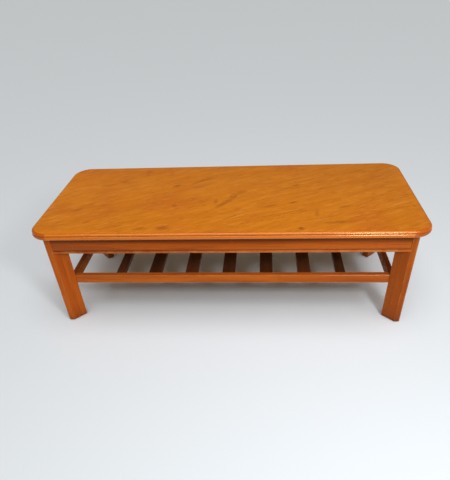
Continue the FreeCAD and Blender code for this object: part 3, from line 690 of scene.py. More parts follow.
@dataclass(frozen=True)
class LacqueredWood(Wood):
    """A stained, lacquered wood: rubbed arrises, painted highlight and shade, dark joints, a
    little dust.
    """

    gloss: float = 0.24
    smudge: float = 0.1
    specular: float = 0.2
    sheen: Colour = (1.0, 0.74, 0.50, 1)
    coat: float = 0.6
    coat_roughness: float = 0.2
    arris_roughness: float = 0.55
    dust_roughness: float = 0.4
    relief: float = 1.0
    wear_and_highlight: float = 0.35
    dust: float = 0.12
    seam_and_shade_strength: float = 0.85
    worn_and_highlight: Colour = (0.60, 0.23, 0.045, 1)
    dusty: Colour = (0.62, 0.55, 0.46, 1)
    dark_seam_and_shade: Colour = (0.045, 0.012, 0.005, 1)

    def figured(self, shader: Shader, place: NodeSocket, colour: NodeSocket) -> NodeSocket:
        """Return the grain's colour with what this finish adds to it, here nothing."""
        return colour

    def surface(self, shader: Shader, place: NodeSocket, run: Run) -> Feeds:
        """Say what feeds the shader: the grain, lacquer, what time added, painted highlight and
        shade.

        Args:
            shader: The tree to add to.
            place: The position in the row frame.
            run: The direction of the grain.

        Returns:
            What feeds each input, by name.
        """
        tone, arris, seam = (shader.attribute(name) for name in ("tone", "arris", "seam"))
        grain = self.grain(shader, shader.turned(place, run), tone)
        # Lighter arrises: rubbed patches, and painted highlight along the rounded edges.
        worn_and_highlight = shader.group(Effect.WEAR_AND_HIGHLIGHT, {
            "Position": place, "Arris": arris, "Amount": self.wear_and_highlight})["Mask"]
        dust = shader.group(Effect.DUST, {"Position": place, "Amount": self.dust})["Mask"]
        lacquer = shader.group(Effect.LACQUER, {
            "Position": place, "Gloss": self.gloss, "Smudge": self.smudge})
        colour = self.figured(shader, place, grain["Color"])
        # The seam layer darkens towards one colour: dark joints, painted shade in recesses and
        # under the overhang, and darkening towards the feet.
        for mask, over in ((worn_and_highlight, self.worn_and_highlight), (shader.times(seam, self.seam_and_shade_strength), self.dark_seam_and_shade),
                           (dust, self.dusty)):
            colour = shader.mix(mask, colour, over)
        roughness = shader.plus(lacquer["Roughness"], shader.times(dust, self.dust_roughness),
                                True)
        return {
            "Base Color": colour,
            "Roughness": shader.times(
                roughness, shader.between(arris, 0, 1, 1, self.arris_roughness)),
            "Specular IOR Level": self.specular,
            "Specular Tint": self.sheen,
            "Coat Weight": shader.times(arris, self.coat),
            "Coat Roughness": self.coat_roughness,
            "Normal": shader.bumps((grain["Height"], 0.25 * self.relief, 0.0002),
                                   (lacquer["Height"], 0.12 * self.relief, 0.0006)),
        }


@dataclass(frozen=True)
class Mark:
    """A darker mark in the veneer: a patch placed in plan, turned from X towards Y."""

    x: float
    y: float
    length: float
    width: float
    strength: float
    degrees: float = GRAIN_DEGREES
    hollow: float = 0.0

    def over(self, shader: Shader, place: NodeSocket, ragged: NodeSocket,
             below: Source) -> NodeSocket:
        """Add this mark over those before it.

        Args:
            shader: The tree to add to.
            place: The position in the row frame.
            ragged: The noise that breaks the marks' edges.
            below: The mask of the marks before it.

        Returns:
            The mask of all the marks so far.
        """
        own = shader.add("Mapping", {
            "Vector": place, "Location": (self.x, self.y, 0),
            "Rotation": (0, 0, math.radians(self.degrees)),
            "Scale": (self.length, self.width, 1)}, vector_type="TEXTURE").outputs[0]
        return shader.group(Effect.MARK, {
            "Place": own, "Ragged": ragged, "Hollow": self.hollow, "Strength": self.strength,
            "Below": below})["Mask"]


@dataclass(frozen=True)
class Veneer(LacqueredWood):
    """The face veneer: a mottled figure with flecks, dashes and marks, and painted shade at the
    front.
    """

    marks: tuple[Mark, ...] = ()
    marked: float = 0.8
    clouds: float = 0.5
    dashes: float = 0.38
    flecks: float = 0.35
    ruddy: Colour = (0.57, 0.13, 0.013, 1)
    pale: Colour = (0.80, 0.30, 0.05, 1)
    painted_shade_level: float = 1.02
    painted_shade_slope: Spot = (-0.14, 0.37, 0)

    def figured(self, shader: Shader, place: NodeSocket, colour: NodeSocket) -> NodeSocket:
        """Return the grain's colour with broad ruddy clouds, pale dashes, flecks and marks.

        Args:
            shader: The tree to add to.
            place: The position in the row frame.
            colour: The colour of the grain.

        Returns:
            The colour.
        """
        lying = shader.turned(place, Run.SLANT)
        cloud = shader.patches(place, 3.4, 0.42, 0.66)
        dash = shader.patches(lying, (17, 130, 130), 0.59, 0.64, 2.0, 0.5, 0.4)
        fleck = shader.times(shader.patches(lying, (26, 190, 190), 0.59, 0.64, 2.0, 0.5, 0.4),
                             shader.patches(lying, 9.0, 0.40, 0.62))
        ragged = shader.noise(lying, (22, 60, 60), 3.0, 0.6)
        mask: Source = 0.0
        for mark in self.marks:
            mask = mark.over(shader, place, ragged, mask)
        for patch, share, over in (
                (cloud, self.clouds, self.ruddy), (dash, self.dashes, self.pale),
                (fleck, self.flecks, self.streak), (mask, self.marked, self.streak)):
            colour = shader.mix(shader.times(patch, share), colour, over)
        # Painted shade and light: darker towards the front and right, where the key lamp is
        # nearest, lighter towards the back.
        slope = shader.vectors("DOT_PRODUCT", place, self.painted_shade_slope)
        return shader.shaded(colour, shader.plus(slope, self.painted_shade_level))


@dataclass(frozen=True)
class RawWood(Wood):
    """Sawn wood with no finish, as on the blocks and the batten."""

    light: Colour = (0.56, 0.38, 0.21, 1)
    dark: Colour = (0.42, 0.25, 0.12, 1)
    streak: Colour = (0.30, 0.16, 0.07, 1)
    stretch: float = 0.08
    streaks: float = 0.6
    pores: float = 0.4
    tone: float = 0.5
    roughness: float = 0.75

    def surface(self, shader: Shader, place: NodeSocket, run: Run) -> Feeds:
        """Say what feeds the surface shader: the grain, and the saw's marks across it.

        Args:
            shader: The tree to add to.
            place: The position in the row frame.
            run: The direction of the grain.

        Returns:
            What feeds each input, by name.
        """
        position = shader.turned(place, run)
        grain = self.grain(shader, position, self.tone)
        saw = shader.noise(position, (700, 40, 40))
        return {
            "Base Color": grain["Color"],
            "Roughness": shader.plus(self.roughness, shader.times(saw, 0.15)),
            "Normal": shader.bumps((grain["Height"], 0.5, 0.0003), (saw, 0.5, 0.0004)),
        }


@dataclass(frozen=True)
class PressedBoard(Finish):
    """Raw pressed board: short chips of three tones, pressed flat."""

    pale: Colour = (0.50, 0.36, 0.20, 1)
    middle: Colour = (0.62, 0.48, 0.30, 1)
    dark: Colour = (0.33, 0.21, 0.11, 1)
    roughness: float = 0.8

    def surface(self, shader: Shader, place: NodeSocket, run: Run) -> Feeds:
        """Say what feeds the surface shader: the chips, which lie in no one direction.

        Args:
            shader: The tree to add to.
            place: The position in the row frame.
            run: The direction of the grain, which is left unused.

        Returns:
            What feeds each input, by name.
        """
        chips = shader.add("TexVoronoi", {
            "Vector": shader.vectors("MULTIPLY", place, (220, 480, 300)), "Scale": 1.0}).outputs
        tone = shader.between(chips["Color"], 0.25, 0.75)
        return {
            "Base Color": shader.mix(shader.patches(place, 420.0, 0.58, 0.7, 3.0),
                                     shader.mix(tone, self.pale, self.middle), self.dark),
            "Roughness": self.roughness,
            "Normal": shader.bumps((chips["Distance"], 0.4, 0.0003)),
        }


@dataclass(frozen=True)
class Mottled(Finish):
    """A metal or plastic with a second colour and roughness in patches.

    The patches and the height are given as a noise texture's scale and settings.
    """

    colours: tuple[Colour, Colour]
    roughness: Point
    metallic: float
    patches: tuple[float, ...]
    height: tuple[float, ...]
    relief: float

    def surface(self, shader: Shader, place: NodeSocket, run: Run) -> Feeds:
        """Say what feeds the surface shader: the two colours in their patches.

        Args:
            shader: The tree to add to.
            place: The position in the row frame.
            run: The direction of the grain, which is left unused.

        Returns:
            What feeds each input, by name.
        """
        patch = shader.patches(place, *self.patches)
        height = shader.noise(place, *self.height) if self.height else patch
        return {
            "Base Color": shader.mix(patch, *self.colours),
            "Roughness": shader.between(patch, 0, 1, *self.roughness),
            "Metallic": self.metallic,
            "Normal": shader.bumps((height, self.relief, 0.0001)),
        }


@dataclass(frozen=True)
class Plain(Finish):
    """The studio floor's one colour and roughness."""

    colour: Colour
    roughness: float

    def surface(self, shader: Shader, place: NodeSocket, run: Run) -> Feeds:
        """Return the colour and the roughness."""
        return {"Base Color": self.colour, "Roughness": self.roughness}


VENEER = Veneer(
    light=(0.72, 0.226, 0.014, 1), dark=(0.64, 0.188, 0.011, 1), streak=(0.28, 0.060, 0.008, 1),
    stretch=0.16, streaks=0.3, pores=0.28, gloss=0.3, specular=0.12, coat=0.1, wear_and_highlight=0.05,
    dust=0.1,
    marks=(
        Mark(0.018, -0.008, 0.038, 0.020, 0.80, 70, 0.9),
        Mark(-0.015, -0.075, 0.085, 0.017, 0.55, 52),
        Mark(0.045, 0.020, 0.050, 0.026, 0.45, 40),
        Mark(-0.235, 0.098, 0.028, 0.013, 0.75),
        Mark(-0.125, 0.150, 0.075, 0.014, 0.50, 38),
        Mark(-0.480, 0.158, 0.040, 0.022, 0.50),
        Mark(-0.540, 0.118, 0.070, 0.015, 0.35),
        Mark(-0.388, 0.250, 0.022, 0.050, 0.35, 0),
        Mark(-0.217, -0.092, 0.020, 0.018, 0.55, 60),
        Mark(-0.050, -0.060, 0.012, 0.030, 0.40, 0),
        Mark(0.262, -0.078, 0.030, 0.013, 0.65),
        Mark(0.170, -0.105, 0.050, 0.014, 0.35),
        Mark(0.280, 0.085, 0.026, 0.012, 0.55),
        Mark(0.240, 0.055, 0.040, 0.010, 0.40),
        Mark(0.452, -0.120, 0.034, 0.015, 0.55),
        Mark(0.420, -0.243, 0.070, 0.018, 0.60, 8),
        Mark(0.277, -0.287, 0.016, 0.015, 0.90),
        Mark(0.345, -0.170, 0.012, 0.040, 0.40, -10),
        Mark(-0.235, -0.275, 0.040, 0.022, 0.60, 10),
        Mark(-0.325, -0.277, 0.032, 0.014, 0.55, 10),
        Mark(-0.540, -0.220, 0.026, 0.014, 0.45, 40),
        Mark(-0.610, -0.118, 0.034, 0.013, 0.40, 40),
        Mark(0.652, 0.230, 0.028, 0.008, 0.55, 30),
        Mark(0.700, -0.025, 0.030, 0.012, 0.35),
        Mark(0.717, -0.118, 0.012, 0.010, 0.45),
        Mark(0.032, -0.182, 0.100, 0.0028, 0.75, 37),
        Mark(-0.345, -0.155, 0.100, 0.010, 0.30),
    ))
LIPPING = LacqueredWood(
    light=(0.92, 0.222, 0.003, 1), dark=(0.79, 0.170, 0.002, 1), streak=(0.40, 0.062, 0.002, 1),
    bands=40.0, stretch=0.04, streaks=0.3, pores=0.2, gloss=0.28, smudge=0.06, specular=0.75,
    sheen=(1.0, 0.55, 0.20, 1), coat=0.4, coat_roughness=0.22, wear_and_highlight=0.1, relief=0.04)
# The curved lippings are a darker copy of the lipping: painted shade where the corners turn from
# the light.
SHADED_CURVED_LIPPING = replace(LIPPING, light=(0.72, 0.140, 0.002, 1), dark=(0.58, 0.105, 0.002, 1))
LEG_WOOD = LacqueredWood(
    light=(0.49, 0.100, 0.006, 1), dark=(0.37, 0.064, 0.004, 1), streak=(0.18, 0.026, 0.003, 1),
    streaks=0.40, gloss=0.22, specular=0.3, sheen=(1.0, 0.50, 0.18, 1), coat=0.15,
    coat_roughness=0.15, wear_and_highlight=0.45)
# The aprons get more of the lighter arris colour: painted highlight on their beads as well as
# rubbed patches.
APRON_WOOD = replace(LEG_WOOD, coat=0.35, wear_and_highlight=0.6)
RAIL_WOOD = LacqueredWood(
    light=(0.50, 0.112, 0.007, 1), dark=(0.38, 0.075, 0.005, 1), streak=(0.18, 0.028, 0.003, 1))
# The stretchers are coloured darker than the rails: painted shade under the top.
SHADED_STRETCHER_WOOD = LacqueredWood(
    light=(0.38, 0.088, 0.007, 1), dark=(0.27, 0.056, 0.005, 1), streak=(0.10, 0.020, 0.004, 1),
    coat=0.1)
# The slats are coloured far darker than the frame: painted shade under the top.
SHADED_SLAT_WOOD = LacqueredWood(
    light=(0.10, 0.028, 0.009, 1), dark=(0.065, 0.018, 0.007, 1),
    streak=(0.035, 0.010, 0.005, 1), streaks=0.40, gloss=0.28, worn_and_highlight=(0.34, 0.10, 0.02, 1))
ZINC_PLATE = Mottled(
    colours=((0.66, 0.67, 0.68, 1), (0.44, 0.44, 0.42, 1)), roughness=(0.3, 0.5), metallic=1.0,
    patches=(260.0, 0.35, 0.7, 4.0, 0.6), height=(), relief=0.15)
GLIDE_PLASTIC = Mottled(
    colours=((0.035, 0.026, 0.02, 1), (0.12, 0.10, 0.085, 1)), roughness=(0.5, 0.75),
    metallic=0.0, patches=(150.0, 0.55, 0.75, 5.0, 0.7), height=(2600.0,), relief=0.3)
PALE_FLOOR = Plain(colour=(0.80, 0.84, 0.87, 1), roughness=0.55)


# Sub-assemblies

@dataclass
class TableTop:
    """The veneered board and the moulded lipping round it."""

    length: float = 1.500
    depth: float = 0.640
    height: float = 0.450
    corner_radius: float = 0.075
    board: float = 0.026
    veneer: float = 0.001
    veneer_ease: float = 0.0004
    lipping: float = 0.040
    upper_radius: float = 0.009
    upper_inset: float = 0.0015
    quirk: float = 0.002
    joint: float = 0.0002
    upper_steps: int = 12
    lower_steps: int = 16
    corner_steps: int = 24
    corner_tone: float = 0.35
    # Painted shade on the moulding: in the quirk, and on the lower bead towards its bottom,
    # deeper on the curved corners.
    quirk_shade: float = 0.7
    straight_shade: float = 0.3
    corner_shade: float = 0.8

    @property
    def lower_radius(self) -> float:
        """Return the lower bead's radius, which is half of what the upper bead leaves."""
        return (self.board - self.upper_radius) / 2

    @property
    def underside(self) -> float:
        """Return the height of the board's underside."""
        return self.height - self.veneer - self.board

    def moulding(self) -> BMesh:
        """Draw the moulded edge's section: a lower bead, the quirk and an upper bead.

        Returns:
            A bmesh that holds its face, with the outer edge at zero.
        """
        ledge = 2 * self.lower_radius
        notch = self.upper_inset + self.quirk
        reach = math.sqrt(self.lower_radius ** 2 - (self.lower_radius - notch) ** 2)
        mesh = bmesh.new()

        def bead(x: float, y: float, centre: Spot, angle: float, steps: int) -> list[BMVert]:
            """Spin a new point about a centre and return it with the last one."""
            first = mesh.verts.new((x, y, 0))
            made = bmesh.ops.spin(mesh, geom=[first], cent=centre, angle=angle, steps=steps,
                                  **ABOUT_Z)
            return [first, *only(BMVert, made["geom_last"])]

        back = mesh.verts.new((-self.lipping, 0, 0))
        lower = bead(-self.lower_radius, 0, (-self.lower_radius, self.lower_radius, 0),
                     QUARTER + math.asin(reach / self.lower_radius), self.lower_steps)
        shelf = mesh.verts.new((-notch, ledge, 0))
        upper = bead(-self.upper_inset, ledge, (-self.upper_inset - self.upper_radius, ledge, 0),
                     QUARTER, self.upper_steps)
        top = mesh.verts.new((-self.lipping, self.board, 0))
        for pair in ((back, lower[0]), (lower[1], shelf), (shelf, upper[0]), (upper[1], top),
                     (top, back)):
            mesh.edges.new(pair)
        bmesh.ops.contextual_create(mesh, geom=mesh.edges[:])
        return mesh

    def stain(self, height: float, low: float) -> float:
        """Return the painted shade at a height: in the quirk, and up to low at the lower bead's
        foot.
        """
        rise = (height - self.underside) / (2 * self.lower_radius)
        near = abs(rise - 1) * 2 * self.lower_radius < self.quirk
        return self.quirk_shade if near else max(0.0, low * (1 - rise))

    def straight(self, side: Side, material: Material) -> None:
        """Build the straight lipping of one side.

        Args:
            side: The side.
            material: Its finish.
        """
        whole, away = side.ordered(self.length, self.depth)
        run = whole - 2 * self.corner_radius
        mesh = self.moulding()
        raise_face(mesh, run)
        carry(mesh, side.turn() @ laid(-run / 2, -away / 2, self.underside, -1))
        # Painted shade in the quirk and under the lower bead.
        shade_faces(mesh, lambda middle: self.stain(middle.z, self.straight_shade))
        axis = side.turns % 2
        # The moulding's long edges end there too, so each of them gets the same fine line.
        ends = edges_where(mesh, lambda spot: abs(abs(spot[axis]) - run / 2) < TOUCH)
        soften(mesh, ends, self.joint, 1, seam=True)
        finish_mesh(f"{side.label}_edge_lipping", mesh, material,
                    f"lipping_{side.label}", side.tone)

    def corners(self, material: Material) -> None:
        """Build the four curved lippings, each the section spun through a quarter turn.

        Args:
            material: Their finish.
        """
        parts = []
        for corner in Corner:
            mesh = self.moulding()
            carry(mesh, Matrix.Translation((self.corner_radius, 0, 0)))
            carry(mesh, Matrix.Rotation(QUARTER, 4, "X"))
            bmesh.ops.spin(mesh, geom=[*mesh.faces, *mesh.edges, *mesh.verts], cent=(0, 0, 0),
                           angle=QUARTER, steps=self.corner_steps, **ABOUT_Z)
            centre = corner.place(self.length / 2 - self.corner_radius,
                                  self.depth / 2 - self.corner_radius, self.underside)
            heading = corner.inward + math.pi - EIGHTH
            carry(mesh, Matrix.Translation(centre) @ Matrix.Rotation(heading, 4, "Z"))
            # Painted shade as on the straight lippings, deeper where the corners turn from the
            # light.
            shade_faces(mesh, lambda middle: self.stain(middle.z, self.corner_shade))
            parts.append(mesh)
        finish_mesh("edge_lipping_corners", joined(parts), material,
                    "lipping_corners", self.corner_tone)

    def face(self, material: Material) -> None:
        """Build the face veneer, with its edge just eased into the moulding.

        Args:
            material: Its finish.
        """
        inset = self.upper_inset + self.upper_radius
        x = self.length / 2 - inset
        y = self.depth / 2 - inset
        mesh = outline([(-x, -y), (x, -y), (x, y), (-x, y)],
                       dict.fromkeys(range(4), self.corner_radius - inset), self.corner_steps)
        carry(mesh, Matrix.Translation((0, 0, self.height - self.veneer)))
        raise_face(mesh, self.veneer)
        rim = edges_where(mesh, lambda spot: spot.z > self.height - TOUCH)
        soften(mesh, rim, self.veneer_ease, 2)
        finish_mesh("face_veneer", mesh, material, "top_veneer")

    def build(self) -> None:
        """Build the face and the lippings, and dress the core board."""
        self.face(VENEER.material("face_veneer", Run.SLANT))
        along = LIPPING.material("lipping_along", Run.ALONG)
        across = LIPPING.material("lipping_across", Run.ACROSS)
        for side in Side:
            self.straight(side, side.ordered(along, across)[0])
        self.corners(SHADED_CURVED_LIPPING.material("lipping_corner"))
        dress("top_core", PressedBoard().material("core_board"))


@dataclass
class LegFrame:
    """The four plank legs and the four beaded aprons between them.

    Each of the shades has a height below the aprons' top and how dark the painted shade of the
    overhang is above it, and each of the foot darkenings has a height above the foot and how
    much darker the leg is below it.
    """

    reach_x: float = 0.710
    reach_y: float = 0.280
    top: float = 0.423
    glide: float = 0.002
    thickness: float = 0.032
    width: float = 0.079
    point_round: float = 0.006
    arris_round: float = 0.004
    inner_round: float = 0.0025
    foot_bevel: float = 0.002
    apron_height: float = 0.082
    apron_thickness: float = 0.020
    setback: float = 0.003
    bead: float = 0.011
    bead_steps: int = 8
    groove: float = 0.004
    groove_depth: float = 0.002
    groove_shade: float = 0.8
    joint: float = 0.0022
    shades: tuple[Point, ...] = ((0.042, 0.25), (0.037, 0.5), (0.032, 0.75))
    foot_darkening: tuple[Point, ...] = (
        (0.080, 0.06), (0.060, 0.12), (0.043, 0.19), (0.029, 0.28), (0.017, 0.40), (0.008, 0.55))

    @property
    def slant(self) -> float:
        """Return the leg's thickness measured along a side of the table."""
        return self.thickness / DIAGONAL

    @property
    def apron_back(self) -> float:
        """Return how far the aprons' backs stand in from the front of their beads."""
        return self.setback + self.apron_thickness

    @property
    def groove_top(self) -> float:
        """Return the height of the groove's top above the aprons' bottom."""
        return self.bead + self.groove

    def leg(self, corner: Corner, material: Material) -> None:
        """Build one leg: a plank on the diagonal that comes to a right-angled point.

        Args:
            corner: The corner that it stands at.
            material: Its finish.
        """
        half = self.thickness / 2
        arris = self.arris_round * math.tan(EIGHTH / 2)
        mesh = outline(
            [(0, 0), (half, -half), (self.width, -half), (self.width, half), (half, half)],
            {0: self.point_round, 1: arris, 2: self.inner_round, 3: self.inner_round, 4: arris})
        raise_face(mesh, self.top - self.glide)
        soften(mesh, edges_where(mesh, lambda spot: spot.z < TOUCH), self.foot_bevel, 1)
        # Darker towards the foot, in steps.
        for height, _ in self.foot_darkening:
            cut(mesh, (0, 0, height), (0, 0, 1))
        shade_faces(mesh, lambda middle: darkest(self.foot_darkening, middle.z))
        carry(mesh, Matrix.Translation(corner.place(self.reach_x, self.reach_y, self.glide))
              @ Matrix.Rotation(corner.inward, 4, "Z"))
        finish_mesh(f"{corner.label}_leg", mesh, material, f"leg_{corner.label}",
                    corner.tone)

    def apron_stain(self, middle: Vector) -> float:
        """Say how dark the painted shade is on an apron: in its groove, and high on its front
        under the overhang.

        Args:
            middle: The place in the section, with the bottom of the bead's front at zero.

        Returns:
            The darkness, from 0 to 1.
        """
        if (self.bead < middle.y < self.groove_top
                and self.setback < middle.x < self.apron_back / 2):
            return self.groove_shade
        if middle.x < self.apron_back:
            return darkest(self.shades, self.apron_height - middle.y)
        return 0.0

    def apron(self, side: Side, material: Material) -> None:
        """Build one apron, with its bead, its groove and its ends cut against the legs.

        Args:
            side: The side that it lies on.
            material: Its finish.
        """
        tip, away = side.ordered(self.reach_x, self.reach_y)
        floor = self.setback + self.groove_depth
        mesh = outline([
            (self.apron_back, 0), (self.apron_back, self.apron_height),
            (self.setback, self.apron_height), (self.setback, self.groove_top),
            (floor, self.groove_top - self.groove_depth), (floor, self.bead), (0, self.bead),
            (0, 0)], dict.fromkeys((7, 6), self.bead / 2 * NEARLY), self.bead_steps)
        raise_face(mesh, 2 * tip)
        # Painted shade: bands high on the front under the top's overhang, and the groove above
        # the bead.
        for height, _ in self.shades:
            cut(mesh, (0, self.apron_height - height, 0), (0, 1, 0))
        shade_faces(mesh, self.apron_stain)
        carry(mesh, laid(-tip, -away, self.top - self.apron_height))
        shoulder = tip - self.slant
        for sign in (-1, 1):
            slice_end(mesh, (sign * shoulder, -away, 0), (sign, 1, 0))
        # The bead's shortest edges hold this easing to a few thousandths of a millimetre.
        ends = edges_where(
            mesh, lambda spot: abs(abs(spot.x) + (spot.y + away) - shoulder) < TOUCH)
        soften(mesh, ends, self.joint, 2, seam=True)
        carry(mesh, side.turn())
        finish_mesh(f"{side.label}_apron", mesh, material, f"apron_{side.label}",
                    side.tone)

    def build(self) -> None:
        """Build the legs and the aprons."""
        upright = LEG_WOOD.material("leg_wood", Run.UPRIGHT)
        along = APRON_WOOD.material("apron_along", Run.ALONG)
        across = APRON_WOOD.material("apron_across", Run.ACROSS)
        for corner in Corner:
            self.leg(corner, upright)
        for side in Side:
            self.apron(side, side.ordered(along, across)[0])


@dataclass
class Shelf:
    """The clipped, mitred shelf frame and the seven slats tenoned into it."""

    legs: LegFrame
    top: float = 0.208
    height: float = 0.038
    rounding: float = 0.003
    slat_width: float = 0.054
    end_slat_width: float = 0.038
    slat_thickness: float = 0.014
    slat_drop: float = 0.003
    slat_end_gap: float = 0.168
    slat_round: float = 0.002
    slats: int = 7
    tone_swing: float = 0.4
    tone_step: float = 2.4

    @property
    def face_in(self) -> float:
        """Return how far the frame's outer faces stand in from the legs' points."""
        return (self.legs.width * DIAGONAL - self.legs.slant) / 2

    @property
    def corner_in(self) -> float:
        """Return how far in the frame's outer faces meet the legs' inner corners."""
        return (self.legs.width * DIAGONAL + self.legs.slant) / 2

    def member(self, side: Side, material: Material) -> None:
        """Build a rail or stretcher: each end is a point between two 45 degree cuts.

        Args:
            side: The side that it lies on.
            material: Its finish.
        """
        tip, away = side.ordered(self.legs.reach_x, self.legs.reach_y)
        thick = self.legs.slant
        end = tip - self.corner_in
        mesh = outline([(0, 0), (thick, 0), (thick, self.height), (0, self.height)],
                       dict.fromkeys(range(4), self.rounding))
        raise_face(mesh, 2 * (end + thick))
        carry(mesh, laid(-end - thick, 0, 0))
        for sign in (-1, 1):
            slice_end(mesh, (sign * end, 0, 0), (sign, -1, 0))
            slice_end(mesh, (sign * end, thick, 0), (sign, 1, 0))
        inside = (0, self.face_in - away, self.top - self.height)
        carry(mesh, side.turn() @ Matrix.Translation(inside))
        kind = side.ordered("rail", "stretcher")[0]
        finish_mesh(f"{side.label}_shelf_{kind}", mesh, material,
                    f"shelf_{kind}_{side.label}", side.tone)

    def slat_row(self) -> list[Point]:
        """Space the slats evenly between the stretchers.

        Returns:
            Each slat's middle along X and its width, from the left.
        """
        widths = [self.slat_width] * self.slats
        widths[0] = widths[-1] = self.end_slat_width
        reach = self.legs.reach_x - self.corner_in - self.slat_end_gap
        gap = (2 * reach - sum(widths)) / (self.slats - 1)
        return [(sum(widths[:index]) + index * gap + width / 2 - reach, width)
                for index, width in enumerate(widths)]

    def slat(self, index: int, x: float, width: float, material: Material) -> None:
        """Build one slat between the two rails.

        Args:
            index: Its number, from the left.
            x: Its middle along X.
            width: Its width.
            material: Its finish.
        """
        span = 2 * (self.legs.reach_y - self.corner_in)
        level = self.top - self.slat_drop - self.slat_thickness / 2
        mesh = bmesh.new()
        bmesh.ops.create_cube(mesh, size=1)
        bmesh.ops.scale(mesh, verts=mesh.verts, vec=(width, span, self.slat_thickness))
        carry(mesh, Matrix.Translation((x, 0, level)))
        arrises = [edge for edge in edges_where(mesh, lambda spot: spot.z > level)
                   if abs(edge.verts[0].co.x - edge.verts[1].co.x) < TOUCH]
        soften(mesh, arrises, self.slat_round, 4)
        finish_mesh(f"slat_{index}", mesh, material, f"shelf_slat_{index}",
                    0.5 + self.tone_swing * math.sin(index * self.tone_step))

    def build(self) -> None:
        """Build the frame and the slats."""
        along = RAIL_WOOD.material("shelf_along", Run.ALONG)
        across = SHADED_STRETCHER_WOOD.material("shelf_across", Run.ACROSS)
        for side in (Side.FRONT, Side.BACK, Side.LEFT, Side.RIGHT):
            self.member(side, side.ordered(along, across)[0])
        slats = SHADED_SLAT_WOOD.material("shelf_slats", Run.ACROSS)
        for index, (x, width) in enumerate(self.slat_row(), start=1):
            self.slat(index, x, width, slats)


def dress(node: str, material: Material) -> None:
    """Give a CAD node that stays in view its material."""
    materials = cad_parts[node].data.materials
    materials.clear()
    materials.append(material)
    LOG.info("%s: kept, dressed in %s", node, material.name)


